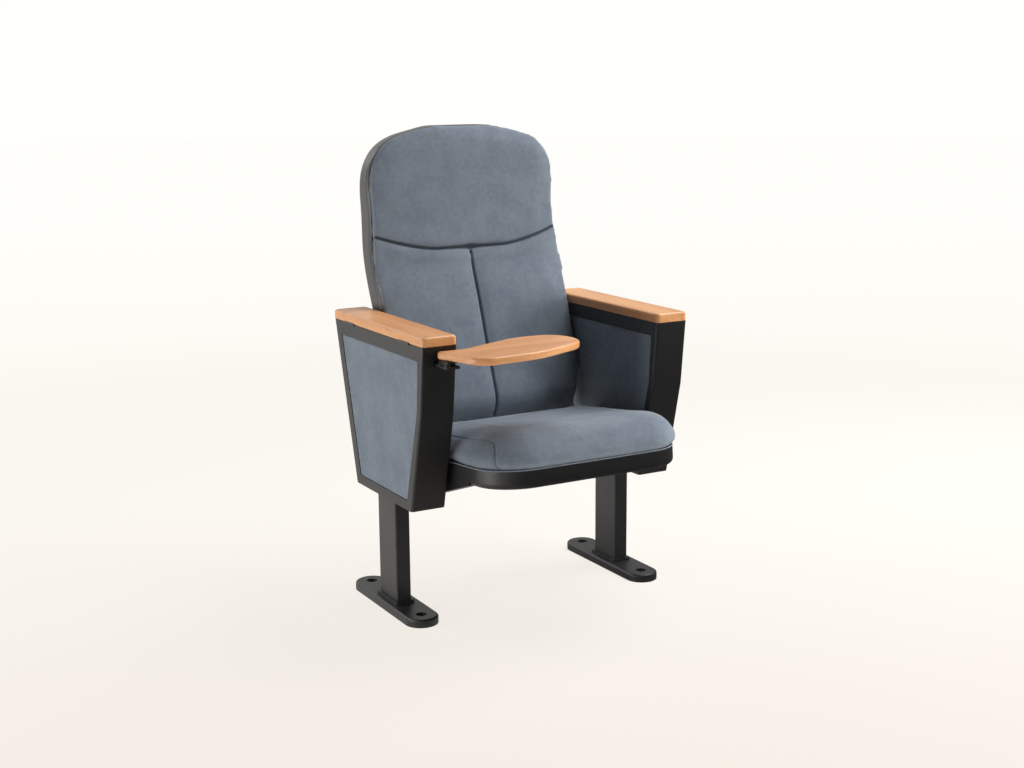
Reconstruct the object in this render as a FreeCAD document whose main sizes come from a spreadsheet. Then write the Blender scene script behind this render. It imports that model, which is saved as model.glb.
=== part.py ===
# Tip-up auditorium seat on two floor-mounted legs, with a fold-away writing tablet in the sitter's right arm.
# Frame: millimetres, +Z up, the sitter faces -Y, +X is the sitter's left. The origin lies on the floor,
# at the centre of the four floor bolt holes.

import FreeCAD, Part
import math
import os

import Sketcher

edge_tolerance = 0.01  # mm within which an edge counts as being at a place
Vector = FreeCAD.Vector
Rotation = FreeCAD.Rotation
Placement = FreeCAD.Placement

# Driving dimensions, written to the sheet. Each is set once.
driving_dimensions = {
    # arms and legs
    "arm_spacing": 570,
    "arm_width": 79,
    "arm_top_z": 620,
    "arm_bottom_z": 263,
    "arm_kink_z": 476,
    "arm_front_top_y": -238,
    "arm_front_kink_y": -223,
    "arm_front_bottom_y": -173,
    "arm_rear_top_y": 200,
    "arm_rear_bottom_y": 102,
    "arm_front_rounding": 6,
    "border_top": 30,
    "border_bottom": 21,
    "border_front_top": 23,
    "border_front_kink": 15,
    "border_front_bottom": 20,
    "border_rear_top": 33,
    "border_rear_bottom": 19,
    "panel_kink_drop": 7,
    "pad_thickness": 6,
    "pad_rounding": 3,
    "panel_board_thickness": 9,
    "panel_clearance": 0.4,
    "standard_thickness": 6.2,
    "standard_front_y": -195,
    "standard_neck_y": -105,
    "standard_wing_height": 32,
    "standard_slope_height": 64,
    "leg_width": 34.6,
    "leg_depth": 89,
    "leg_wall": 3,
    "leg_rounding": 4,
    "leg_top_z": 430,
    "collar_rim": 6,
    "collar_height": 6,
    "foot_width": 74,
    "foot_thickness": 18,
    "foot_rounding": 5,
    "foot_hole_spacing": 256,
    "floor_hole_radius": 6,
    "floor_recess_radius": 12,
    "floor_recess_depth": 4,
    # armrests
    "cap_width": 80,
    "cap_thickness": 20,
    "cap_front_y": -239,
    "cap_rear_y": 209,
    "cap_corner": 10,
    "cap_edge": 6,
    "cap_lower_edge": 2,
    "cap_end_margin": 90,
    "cap_screw_bite": 12,
    "lid_gap": 0.3,
    # writing tablet and its hinge
    "tablet_thickness": 16,
    "tablet_underside_z": 596,
    "tablet_edge": 5,
    "tablet_overhang": 7,
    "tablet_rear_gap": 4.5,
    "tablet_length": 327,
    "tablet_depth": 123.5,
    "tablet_wing": 63.5,
    "tablet_shoulder": 39,
    "tablet_belly": 182,
    "tablet_tip": 46.5,
    "tablet_neck": 65,
    "tablet_belly_rise": 10,
    "tablet_far_setback": 12,
    "tablet_far_drop": 10,
    "tablet_wing_setback": 110,
    "tablet_rear_radius": 6,
    "tablet_shoulder_radius": 45,
    "tablet_belly_radius": 250,
    "tablet_tip_radius": 60,
    "tablet_far_radius": 55,
    "tablet_wing_radius": 150,
    "tablet_neck_radius": 60,
    "tablet_hinge_x": -290,
    "tablet_hinge_z": 590.5,
    "tablet_bracket_front_y": -286,
    "tablet_bracket_rear_y": -250,
    "tablet_bracket_thickness": 5,
    "tablet_bracket_reach": 30,
    "tablet_bracket_tail_y": -176,
    "tablet_leaf_thickness": 3,
    "tablet_leaf_reach": 48,
    "tablet_knuckle_radius": 4.5,
    "tablet_knuckle_length": 10,
    "tablet_pin_radius": 2.4,
    "tablet_screw_near": 19,
    "tablet_screw_far": 38,
    "tablet_screw_head": 4,
    "tablet_screw_bite": 8,
    "tablet_pilot_depth": 9.6,
    "tablet_platform_gap": 1.5,
    "pocket_front_y": -172,
    "pocket_rear_y": 150,
    # lid hinge
    "lid_hinge_length": 50,
    "lid_hinge_front_y": -180,
    "lid_hinge_rear_y": 95,
    "lid_knuckle_radius": 2.5,
    "lid_pin_radius": 1.2,
    "lid_leaf_width": 16,
    "lid_leaf_thickness": 1.5,
    # seat pivot and stop
    "pivot_y": -45,
    "pivot_z": 318,
    "seat_tilt": 5,
    "seat_travel": 75,
    "pin_radius": 8,
    "pin_reach": 35,
    "running_clearance": 0.05,
    "fit_clearance": 0.02,
    "peg_radius": 5,
    "peg_offset_y": -39,
    "peg_offset_z": -11,
    "peg_overhang": 1,
    "sleeve_wall": 3,
    "stop_gap": 0.3,
    "through_clearance": 2,
    "bush_wall": 5,
    "bush_length": 27,
    "cross_tube_wall": 2,
    "spring_wall": 3,
    "spring_length": 65,
    # seat
    "seat_side_gap": 11.5,
    "seat_front": 339,
    "seat_rear": 62,
    "seat_front_corner": 95,
    "seat_rear_corner": 24,
    "seat_least_corner": 6,
    "parting_height": 29.5,
    "pan_depth": 38,
    "pan_wall": 4,
    "pan_rounding": 12,
    "cheek_width": 42,
    "cheek_radius": 62,
    "cheek_tip": 215,
    "cheek_rounding": 5,
    "seat_board_thickness": 12,
    "board_clearance": 0.5,
    "cushion_thickness": 79,
    "cushion_fall": 0.3,
    "cushion_crown": 1.27,
    "cushion_swell": 7,
    "side_draw_in": 3,
    "seat_arm_thickness": 5,
    "seat_arm_length": 250,
    "seat_arm_height": 21,
    "seat_arm_hub_radius": 56,
    "seat_arm_flange": 26,
    "boss_radius": 7,
    "screw_radius": 2.5,
    "screw_head_radius": 5,
    "screw_head_height": 2,
    "seat_screw_bite": 8.4,
    "seat_pilot_depth": 9.6,
    "pan_screw_inset": 106,
    "pan_screw_front_y": -254,
    "pan_screw_rear_y": -85,
    "arm_screw_first": 50,
    "arm_screw_pitch": 87,
    # back, as stations up its height: the rise to each from the one below, its front, its depth behind
    # that front and the gap between its side and the arm's pad
    "back_hem_z": 378,
    "rise_to_lumbar": 70,
    "rise_to_waist": 112,
    "rise_to_middle": 90,
    "rise_to_seam": 113,
    "rise_to_nape": 87,
    "rise_to_head": 106,
    "rise_to_top": 83,
    "front_hem_y": 62,
    "front_lumbar_y": 47,
    "front_waist_y": 90,
    "front_middle_y": 122,
    "front_seam_y": 164,
    "front_nape_y": 179,
    "front_head_y": 184,
    "depth_hem": 64,
    "depth_lumbar": 87,
    "depth_waist": 84,
    "depth_middle": 82,
    "depth_seam": 79,
    "depth_nape": 82,
    "depth_head": 72,
    "side_gap_hem": 25.5,
    "side_gap_lumbar": 19.5,
    "side_gap_waist": 9,
    "side_gap_middle": 5.5,
    "side_gap_seam": 5.5,
    "side_gap_nape": 11.5,
    "side_gap_head": 16.5,
    "back_crown": 3,
    "back_rim_inset": 12,
    "back_cushion_thickness": 30,
    "back_board_thickness": 9,
    "back_wall": 4,
    "back_flat_crown": 0.5,
    "back_face_corner": 9,
    "back_core_corner": 4,
    "back_core_overlap": 4,
    "back_board_corner": 3,
    "back_shell_corner": 18,
    "back_shell_mouth": 10,
    "back_roll_front": 12,
    "back_roll_rear": 10,
    "seam_groove": 3.5,
    "seam_depth": 2.5,
    "middle_seam_width": 2.4,
    "seam_rise": 32,
    # back fixings
    "back_bolt_lower_depth": 67,
    "back_bolt_lower_rise": 30,
    "back_bolt_upper_depth": 59,
    "back_bolt_upper_rise": 5,
    "back_bolt_radius": 5,
    "spacer_radius": 7,
    "bolt_head_radius": 8,
    "bolt_head_height": 6,
    "back_bracket_thickness": 5,
    "bracket_margin": 10,
    "bracket_end": 20,
    "spacer_overhang": 4.5,
}


class Size:
    # A number together with the sheet expression that gives it.
    def __init__(self, value, text):
        self.value = float(value)
        self.text = text

    def __add__(self, other):
        other = as_size(other)
        return Size(self.value + other.value, f"({self.text} + {other.text})")

    def __radd__(self, other):
        return as_size(other) + self

    def __sub__(self, other):
        other = as_size(other)
        return Size(self.value - other.value, f"({self.text} - {other.text})")

    def __rsub__(self, other):
        return as_size(other) - self

    def __mul__(self, other):
        other = as_size(other)
        return Size(self.value * other.value, f"({self.text} * {other.text})")

    def __rmul__(self, other):
        return as_size(other) * self

    def __truediv__(self, other):
        other = as_size(other)
        return Size(self.value / other.value, f"({self.text} / {other.text})")

    def __neg__(self):
        return as_size(0) - self


def as_size(value):
    if isinstance(value, Size):
        return value
    return Size(value, f"({float(value)!r})")


def number(value):
    return as_size(value).value


class Sizes:
    # Every driving dimension as an attribute of its own.
    def __init__(self, sheet, table):
        for row, (name, value) in enumerate(table.items(), start=1):
            sheet.set(f"A{row}", name)
            sheet.set(f"B{row}", str(value))
            sheet.setAlias(f"B{row}", name)
        sheet.recompute()
        for name in table:
            setattr(self, name, Size(sheet.get(name), f"Sizes.{name}"))


doc = FreeCAD.newDocument("auditorium_seat")
sheet = doc.addObject("Spreadsheet::Sheet", "Sizes")
s = Sizes(sheet, driving_dimensions)
doc.recompute()

sides = (("left", 1), ("right", -1))
nodes = []


# Modelling helpers

def bind(feature, property_name, value):
    feature.setExpression(property_name, as_size(value).text)


def place(feature, x=0, y=0, z=0, axis=Vector(0, 0, 1), angle=0):
    # An angle given as a Size is bound to the sheet too.
    feature.Placement = Placement(Vector(number(x), number(y), number(z)), Rotation(axis, number(angle)))
    for name, value in (("x", x), ("y", y), ("z", z)):
        bind(feature, f"Placement.Base.{name}", value)
    if isinstance(angle, Size):
        bind(feature, "Placement.Rotation.Angle", angle)


def place_on_seat(feature):
    # Seat pieces are drawn level, with the pivot at their origin, and tilt with the seat.
    place(feature, 0, s.pivot_y, s.pivot_z, Vector(-1, 0, 0), s.seat_tilt)


def keep(feature, label):
    feature.Label = label
    nodes.append(feature)
    return feature


def circle(x, y, radius):
    return ("circle", x, y, radius)


def rectangle(x_low, x_high, y_low, y_high):
    return [(x_low, y_low), (x_high, y_low), (x_high, y_high), (x_low, y_high)]


def draw_circle(sketch, x, y, radius):
    centre = Vector(number(x), number(y), 0)
    index = sketch.addGeometry(Part.Circle(centre, Vector(0, 0, 1), number(radius)), False)
    for kind, value in (("DistanceX", x), ("DistanceY", y)):
        constraint = sketch.addConstraint(Sketcher.Constraint(kind, -1, 1, index, 3, number(value)))
        sketch.setExpression(f"Constraints[{constraint}]", as_size(value).text)
    constraint = sketch.addConstraint(Sketcher.Constraint("Radius", index, number(radius)))
    sketch.setExpression(f"Constraints[{constraint}]", as_size(radius).text)


def draw_polygon(sketch, corners):
    points = [Vector(number(x), number(y), 0) for x, y in corners]
    count = len(points)
    lines = [
        sketch.addGeometry(Part.LineSegment(points[i], points[(i + 1) % count]), False) for i in range(count)
    ]
    for i in range(count):
        sketch.addConstraint(Sketcher.Constraint("Coincident", lines[i], 2, lines[(i + 1) % count], 1))
    for line, (x, y) in zip(lines, corners):
        for kind, value in (("DistanceX", x), ("DistanceY", y)):
            constraint = sketch.addConstraint(Sketcher.Constraint(kind, -1, 1, line, 1, number(value)))
            sketch.setExpression(f"Constraints[{constraint}]", as_size(value).text)


def draw(body, name, plane, start, loops):
    sketch = body.newObject("Sketcher::SketchObject", name)
    support = next(item for item in body.Origin.OriginFeatures if item.Role == f"{plane}_Plane")
    sketch.AttachmentSupport = [(support, "")]
    sketch.MapMode = "FlatFace"
    bind(sketch, "AttachmentOffset.Base.z", start)
    for loop in loops:
        if loop[0] == "circle":
            draw_circle(sketch, *loop[1:])
        else:
            draw_polygon(sketch, loop)
    return sketch


def prism(label, plane, start, thickness, loops):
    # A body whose first feature is a pad of the loops, from start along the plane's normal.
    body = doc.addObject("PartDesign::Body", label)
    pad = body.newObject("PartDesign::Pad", f"{label}_pad")
    pad.Profile = draw(body, f"{label}_outline", plane, start, loops)
    bind(pad, "Length", thickness)
    doc.recompute()
    return keep(body, label)


def side_slab(label, side, near, far, loops):
    # A body between two distances from the middle plane, on the side given by the sign.
    start = near if side > 0 else -as_size(far)
    return prism(label, "YZ", start, as_size(far) - near, loops)


def cut(body, name, plane, start, depth, loops):
    # A pocket from start along the plane's normal. It has to take something away.
    before = body.Tip.Shape.Volume
    pocket = body.newObject("PartDesign::Pocket", name)
    pocket.Profile = draw(body, f"{name}_outline", plane, start, loops)
    bind(pocket, "Length", depth)
    pocket.Reversed = True
    doc.recompute()
    if not pocket.Shape.Volume < before:
        raise RuntimeError(f"{name} cuts nothing")
    return pocket


def round_edges(body, name, wanted, radius):
    # Rounds the edges of the body for which wanted(edge) is true.
    base = body.Tip
    names = [f"Edge{i}" for i, edge in enumerate(base.Shape.Edges, start=1) if wanted(edge)]
    if not names:
        raise RuntimeError(f"{name} finds no edge")
    feature = body.newObject("PartDesign::Fillet", name)
    feature.Base = (base, names)
    bind(feature, "Radius", radius)
    doc.recompute()
    return feature


def along(edge, direction):
    # True for a straight edge parallel to the direction.
    if not isinstance(edge.Curve, Part.Line):
        return False
    return abs(edge.Curve.Direction.dot(direction)) > 0.999


def level(edge, axis, value):
    # True for an edge that lies wholly at one coordinate along the axis.
    low = getattr(edge.BoundBox, f"{axis}Min")
    high = getattr(edge.BoundBox, f"{axis}Max")
    return abs(low - number(value)) < edge_tolerance and abs(high - number(value)) < edge_tolerance


def rod(name, radius, length, x, y, z, axis="X"):
    # A plain cylinder from a point, along +X, +Y or +Z.
    cylinder = doc.addObject("Part::Cylinder", name)
    bind(cylinder, "Radius", radius)
    bind(cylinder, "Height", length)
    turns = {"X": (Vector(0, 1, 0), 90), "Y": (Vector(1, 0, 0), -90), "Z": (Vector(0, 0, 1), 0)}
    place(cylinder, x, y, z, *turns[axis])
    return cylinder


def fuse(name, pieces):
    feature = doc.addObject("Part::MultiFuse", name)
    feature.Shapes = pieces
    return feature


def with_head(name, shank, x, y, z, head_radius):
    # A screw that goes up from z, with its head below.
    head = rod(f"{name}_head", head_radius, s.screw_head_height, x, y, z - s.screw_head_height, "Z")
    return fuse(name, [shank, head])


def group(label, pieces):
    # Identical fasteners share one node, as separate solids.
    feature = doc.addObject("Part::Compound", label)
    feature.Links = pieces
    return keep(feature, label)


def solid_feature(label, shape):
    feature = doc.addObject("Part::Feature", label)
    feature.Shape = shape
    return keep(feature, label)


def arc(first, middle, last):
    return Part.Arc(first, middle, last).toShape()


def line(first, last):
    return Part.LineSegment(first, last).toShape()


def rounded_wire(corners, to_point):
    # A closed wire through corners given as (u, v, radius). to_point turns (u, v) into a vector.
    edges = []
    joints = []
    count = len(corners)
    for i in range(count):
        u, v, radius = (number(item) for item in corners[i])
        here = Vector(u, v, 0)
        before = Vector(number(corners[i - 1][0]), number(corners[i - 1][1]), 0) - here
        after = Vector(number(corners[(i + 1) % count][0]), number(corners[(i + 1) % count][1]), 0) - here
        before.normalize()
        after.normalize()
        half = math.acos(max(-1, min(1, before.dot(after)))) / 2
        reach = radius / math.tan(half)
        bisector = before + after
        bisector.normalize()
        middle = here + bisector * (radius / math.sin(half) - radius)
        joints.append((here + before * reach, middle, here + after * reach))
    for i in range(count):
        start, middle, end = (to_point(point.x, point.y) for point in joints[i])
        following = joints[(i + 1) % count][0]
        edges.append(arc(start, middle, end))
        edges.append(line(end, to_point(following.x, following.y)))
    return Part.Wire(edges)


# Places that several pieces share

arm_centre = s.arm_spacing / 2
arm_inner = arm_centre - s.arm_width / 2
arm_outer = arm_centre + s.arm_width / 2
standard_outer = arm_centre - s.leg_width / 2
standard_inner = standard_outer - s.standard_thickness
inner_board_near = standard_inner - s.panel_board_thickness
inner_pad_near = inner_board_near - s.pad_thickness
face_recess = inner_pad_near - arm_inner
outer_pad_far = arm_outer - face_recess
outer_board_far = outer_pad_far - s.pad_thickness
outer_board_near = outer_board_far - s.panel_board_thickness

opening_top = s.arm_top_z - s.border_top
opening_bottom = s.arm_bottom_z + s.border_bottom
opening_front_top = s.arm_front_top_y + s.border_front_top
opening_front_kink = s.arm_front_kink_y + s.border_front_kink
opening_front_bottom = s.arm_front_bottom_y + s.border_front_bottom
opening_rear_top = s.arm_rear_top_y - s.border_rear_top
opening_rear_bottom = s.arm_rear_bottom_y - s.border_rear_bottom
opening_kink_z = s.arm_kink_z + s.panel_kink_drop

peg_y = s.pivot_y + s.peg_offset_y
peg_z = s.pivot_z + s.peg_offset_z
sleeve_radius = s.peg_radius + s.sleeve_wall
bush_radius = s.pin_radius + s.bush_wall
tube_inner_radius = bush_radius + s.fit_clearance
tube_radius = tube_inner_radius + s.cross_tube_wall
seat_half_width = inner_pad_near - s.seat_side_gap
seat_arm_far = seat_half_width - s.pan_wall * 2
seat_arm_near = seat_arm_far - s.seat_arm_thickness
pin_near = seat_arm_far - s.pin_reach
board_underside = s.parting_height - s.seat_board_thickness
pan_floor = s.parting_height - s.pan_depth

lumbar_z = s.back_hem_z + s.rise_to_lumbar
waist_z = lumbar_z + s.rise_to_waist
middle_z = waist_z + s.rise_to_middle
seam_z = middle_z + s.rise_to_seam
nape_z = seam_z + s.rise_to_nape
head_z = nape_z + s.rise_to_head
back_top_z = head_z + s.rise_to_top
half_lumbar = inner_pad_near - s.side_gap_lumbar
back_bracket_near = half_lumbar - s.back_wall - s.back_bracket_thickness
spacer_near = inner_pad_near - s.spacer_overhang
back_bolts = (
    (s.front_lumbar_y + s.back_bolt_lower_depth, lumbar_z + s.back_bolt_lower_rise),
    (s.front_waist_y + s.back_bolt_upper_depth, waist_z + s.back_bolt_upper_rise),
)


def arm_outline():
    return [
        (s.arm_front_top_y, s.arm_top_z),
        (s.arm_front_kink_y, s.arm_kink_z),
        (s.arm_front_bottom_y, s.arm_bottom_z),
        (s.arm_rear_bottom_y, s.arm_bottom_z),
        (s.arm_rear_top_y, s.arm_top_z),
    ]


def panel_outline(clearance):
    return [
        (opening_front_top + clearance, opening_top - clearance),
        (opening_front_kink + clearance, opening_kink_z),
        (opening_front_bottom + clearance, opening_bottom + clearance),
        (opening_rear_bottom - clearance, opening_bottom + clearance),
        (opening_rear_top - clearance, opening_top - clearance),
    ]


# Feet and legs

def make_foot(name, side):
    x = side * arm_centre
    half = s.foot_width / 2
    reach = s.foot_hole_spacing / 2
    foot = doc.addObject("PartDesign::Body", f"foot_{name}")
    sketch = draw(foot, f"foot_{name}_outline", "XY", as_size(0), [])
    radius = number(half)
    centre_x, end_y = number(x), number(reach)
    ends, edges = [], []
    for turn in (1, -1):
        round_end = Part.Circle(Vector(centre_x, turn * end_y, 0), Vector(0, 0, 1), radius)
        start = 0 if turn > 0 else math.pi
        ends.append(sketch.addGeometry(Part.ArcOfCircle(round_end, start, start + math.pi)))
        edge_x = centre_x - turn * radius
        edge = Part.LineSegment(Vector(edge_x, turn * end_y, 0), Vector(edge_x, -turn * end_y, 0))
        edges.append(sketch.addGeometry(edge))
    for first, second in ((ends[0], edges[0]), (edges[0], ends[1]), (ends[1], edges[1]), (edges[1], ends[0])):
        sketch.addConstraint(Sketcher.Constraint("Tangent", first, 2, second, 1))
    rules = (
        ("DistanceX", ends[0], x),
        ("DistanceY", ends[0], reach),
        ("DistanceX", ends[1], x),
        ("DistanceY", ends[1], -reach),
    )
    for kind, end, value in rules:
        rule = sketch.addConstraint(Sketcher.Constraint(kind, -1, 1, end, 3, number(value)))
        sketch.setExpression(f"Constraints[{rule}]", value.text)
    rule = sketch.addConstraint(Sketcher.Constraint("Radius", ends[0], radius))
    sketch.setExpression(f"Constraints[{rule}]", half.text)
    pad = foot.newObject("PartDesign::Pad", f"foot_{name}_pad")
    pad.Profile = sketch
    bind(pad, "Length", s.foot_thickness)
    doc.recompute()
    round_edges(
        foot, f"foot_{name}_rounding", lambda edge: level(edge, "Z", s.foot_thickness), s.foot_rounding
    )
    holes = [circle(x, end * reach, s.floor_hole_radius) for end in (1, -1)]
    recesses = [circle(x, end * reach, s.floor_recess_radius) for end in (1, -1)]
    cut(foot, f"foot_{name}_holes", "XY", as_size(0), s.foot_thickness, holes)
    cut(
        foot,
        f"foot_{name}_recesses",
        "XY",
        s.foot_thickness - s.floor_recess_depth,
        s.floor_recess_depth,
        recesses,
    )
    return keep(foot, f"foot_{name}")


def leg_rectangle(x, margin):
    half_width = s.leg_width / 2 + margin
    half_depth = s.leg_depth / 2 + margin
    return rectangle(x - half_width, x + half_width, -half_depth, half_depth)


def make_leg(name, side):
    x = side * arm_centre
    tube = prism(
        f"leg_tube_{name}",
        "XY",
        s.foot_thickness,
        s.leg_top_z - s.foot_thickness,
        [leg_rectangle(x, 0), leg_rectangle(x, -s.leg_wall)],
    )
    outer = number(s.leg_depth / 2)

    def outer_corner(edge):
        return along(edge, Vector(0, 0, 1)) and abs(abs(edge.BoundBox.Center.y) - outer) < edge_tolerance

    round_edges(tube, f"leg_tube_{name}_rounding", outer_corner, s.leg_rounding)
    collar = prism(
        f"leg_collar_{name}",
        "XY",
        s.foot_thickness,
        s.collar_height,
        [leg_rectangle(x, s.collar_rim), leg_rectangle(x, s.running_clearance)],
    )
    rim = number(s.leg_depth / 2 + s.collar_rim)

    def collar_corner(edge):
        return along(edge, Vector(0, 0, 1)) and abs(abs(edge.BoundBox.Center.y) - rim) < edge_tolerance

    round_edges(collar, f"leg_collar_{name}_rounding", collar_corner, s.collar_rim)


# Arm boxes

def make_standard(name, side):
    low = opening_bottom + s.board_clearance
    high = opening_top - s.board_clearance
    outline = [
        (s.standard_neck_y, low),
        (opening_rear_bottom - s.bolt_head_height, low),
        (opening_rear_top - s.bolt_head_height, high),
        (s.standard_front_y, high),
        (s.standard_front_y, high - s.standard_wing_height),
        (s.standard_neck_y, high - s.standard_wing_height - s.standard_slope_height),
    ]
    holes = [
        circle(s.pivot_y, s.pivot_z, s.pin_radius + s.fit_clearance),
        circle(peg_y, peg_z, s.peg_radius + s.fit_clearance),
    ]
    holes += [circle(y, z, s.back_bolt_radius + s.fit_clearance) for y, z in back_bolts]
    side_slab(f"standard_{name}", side, standard_inner, standard_outer, [outline] + holes)


def make_housing(name, side):
    housing = side_slab(
        f"arm_housing_{name}", side, arm_inner, arm_outer, [arm_outline(), panel_outline(as_size(0))]
    )
    front_corners = [(number(y), number(z)) for y, z in arm_outline()[:3]]

    def front_edge(edge):
        def at_corner(vertex):
            return any(
                math.hypot(vertex.Point.y - y, vertex.Point.z - z) < edge_tolerance for y, z in front_corners
            )

        return edge.BoundBox.ZLength > edge_tolerance and all(at_corner(v) for v in edge.Vertexes)

    round_edges(housing, f"arm_housing_{name}_rounding", front_edge, s.arm_front_rounding)
    cut(
        housing,
        f"arm_housing_{name}_leg_slot",
        "XY",
        s.arm_bottom_z - s.through_clearance,
        s.border_bottom + s.through_clearance * 2,
        [leg_rectangle(side * arm_centre, s.panel_clearance)],
    )
    return housing


def panel_holes():
    margin = s.through_clearance
    holes = [
        circle(s.pivot_y, s.pivot_z, s.pin_radius + margin),
        circle(peg_y, peg_z, s.peg_radius + margin),
    ]
    return holes + [circle(y, z, s.spacer_radius + s.panel_clearance) for y, z in back_bolts]


def make_panels(name, side):
    outline = panel_outline(s.panel_clearance)
    side_slab(f"inner_board_{name}", side, inner_board_near, standard_inner, [outline] + panel_holes())
    side_slab(f"outer_board_{name}", side, outer_board_near, outer_board_far, [outline])
    inner = side_slab(
        f"inner_pad_{name}", side, inner_pad_near, inner_board_near, [outline] + panel_holes()
    )
    outer = side_slab(f"outer_pad_{name}", side, outer_board_far, outer_pad_far, [outline])
    for pad, face in ((inner, side * inner_pad_near), (outer, side * outer_pad_far)):

        def rim(edge, face=face):
            return level(edge, "X", face) and not isinstance(edge.Curve, Part.Circle)

        round_edges(pad, f"{pad.Label}_rounding", rim, s.pad_rounding)


# Armrests, of which the right one is the lid of the tablet's pocket

def make_armrest(name, side, start):
    x = side * arm_centre
    half = s.cap_width / 2
    cap = prism(
        f"armrest_{name}",
        "XY",
        start,
        s.cap_thickness,
        [rectangle(x - half, x + half, s.cap_front_y, s.cap_rear_y)],
    )
    round_edges(cap, f"armrest_{name}_corners", lambda edge: along(edge, Vector(0, 0, 1)), s.cap_corner)
    top = start + s.cap_thickness
    round_edges(cap, f"armrest_{name}_top", lambda edge: level(edge, "Z", top), s.cap_edge)
    round_edges(cap, f"armrest_{name}_under", lambda edge: level(edge, "Z", start), s.cap_lower_edge)
    return cap


def make_cap_screws(housing, cap):
    # Two screws go up through the left housing's top wall into the armrest.
    through = s.through_clearance
    places = [s.cap_front_y + s.cap_end_margin, s.cap_rear_y - s.cap_end_margin]
    clear = [circle(arm_centre, y, s.screw_radius + s.running_clearance) for y in places]
    cut(housing, "cap_screw_passages", "XY", opening_top - through, s.border_top + through * 2, clear)
    cut(cap, "cap_screw_pilots", "XY", s.arm_top_z, s.cap_screw_bite + s.stop_gap, clear)
    screws = []
    for i, y in enumerate(places):
        length = s.border_top + s.cap_screw_bite
        shank = rod(f"cap_shank_{i}", s.screw_radius, length, arm_centre, y, opening_top, "Z")
        screws.append(with_head(f"cap_screw_{i}", shank, arm_centre, y, opening_top, s.screw_head_radius))
    group("cap_screws", screws)


# Lid hinge: two butt hinges on the outer edge of the right armrest

lid_x = -(arm_centre + s.cap_width / 2)
lid_hinges = (s.lid_hinge_front_y, s.lid_hinge_rear_y)
lid_groove = s.lid_knuckle_radius + s.panel_clearance


def hinge_cylinder(radius, x, y_low, y_high, z):
    base = Vector(number(x), number(y_low), number(z))
    return Part.makeCylinder(number(radius), number(y_high) - number(y_low), base, Vector(0, 1, 0))


def block(x_low, x_high, y_low, y_high, z_low, z_high):
    low = Vector(number(x_low), number(y_low), number(z_low))
    high = Vector(number(x_high), number(y_high), number(z_high))
    return Part.makeBox(high.x - low.x, high.y - low.y, high.z - low.z, low)


def lid_leaf(y, fixed):
    # One leaf. The fixed one has the two end knuckles and lies below, the moving one has the middle knuckle.
    end = y + s.lid_hinge_length
    third = s.lid_hinge_length / 3
    gap = s.stop_gap / 2
    if fixed:
        spans = [(y, y + third - gap), (end - third + gap, end)]
        z_low, z_high = s.arm_top_z - s.lid_leaf_thickness, s.arm_top_z
    else:
        spans = [(y + third + gap, end - third - gap)]
        z_low = s.arm_top_z + s.lid_gap
        z_high = z_low + s.lid_leaf_thickness
    leaf = block(lid_x + lid_groove, lid_x + s.lid_leaf_width, y, end, z_low, z_high)
    for low, high in spans:
        leaf = leaf.fuse(block(lid_x, lid_x + lid_groove, low, high, z_low, z_high))
        leaf = leaf.fuse(hinge_cylinder(s.lid_knuckle_radius, lid_x, low, high, s.arm_top_z))
    bore_radius = s.lid_pin_radius + s.running_clearance
    return leaf.cut(hinge_cylinder(bore_radius, lid_x, y, end, s.arm_top_z)).removeSplitter()


def make_lid_hinge():
    for label, fixed in (("lid_leaf_fixed", True), ("lid_leaf_moving", False)):
        solid_feature(label, Part.Compound([lid_leaf(y, fixed) for y in lid_hinges]))
    pins = [
        rod(f"lid_pin_{i}", s.lid_pin_radius, s.lid_hinge_length, lid_x, y, s.arm_top_z, "Y")
        for i, y in enumerate(lid_hinges)
    ]
    group("lid_pins", pins)


def cut_lid_hinge(body, name, leaf_low, leaf_high):
    # Sinks a leaf and its knuckles into the armrest or the housing.
    margin = s.stop_gap / 2
    for i, y in enumerate(lid_hinges):
        low, high = y - margin, y + s.lid_hinge_length + margin
        leaf = [rectangle(lid_x - s.through_clearance, lid_x + s.lid_leaf_width + margin, low, high)]
        cut(body, f"{name}_leaf_{i}", "XY", leaf_low, leaf_high - leaf_low, leaf)
        groove = [circle(lid_x, s.arm_top_z, lid_groove)]
        cut(body, f"{name}_groove_{i}", "XZ", -high, high - low, groove)


# Writing tablet

tablet_left = s.tablet_hinge_x - s.tablet_overhang
tablet_rear = s.cap_front_y - s.tablet_rear_gap
tablet_front = tablet_rear - s.tablet_depth
tablet_right = tablet_left + s.tablet_length
tablet_far = tablet_rear + s.tablet_wing
# corner x, corner y, radius of the corner
tablet_corners = (
    (tablet_left, tablet_rear, s.tablet_rear_radius),
    (tablet_left + s.tablet_shoulder, tablet_front, s.tablet_shoulder_radius),
    (tablet_left + s.tablet_belly, tablet_front + s.tablet_belly_rise, s.tablet_belly_radius),
    (tablet_right, tablet_rear - s.tablet_tip, s.tablet_tip_radius),
    (tablet_right - s.tablet_far_setback, tablet_far - s.tablet_far_drop, s.tablet_far_radius),
    (tablet_right - s.tablet_wing_setback, tablet_far, s.tablet_wing_radius),
    (tablet_left + s.tablet_neck, tablet_rear, s.tablet_neck_radius),
)
tablet_middle_low = s.tablet_bracket_front_y + s.tablet_knuckle_length + s.stop_gap
tablet_middle_high = s.tablet_bracket_rear_y - s.tablet_knuckle_length - s.stop_gap
bracket_top = s.tablet_hinge_z - s.tablet_knuckle_radius - s.board_clearance
bracket_left = s.tablet_hinge_x - s.tablet_knuckle_radius
bracket_right = bracket_left + s.tablet_bracket_reach
tablet_screw_places = [
    (s.tablet_hinge_x + reach, y)
    for reach in (s.tablet_screw_near, s.tablet_screw_far)
    for y in (tablet_middle_low, tablet_middle_high)
]


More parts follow.
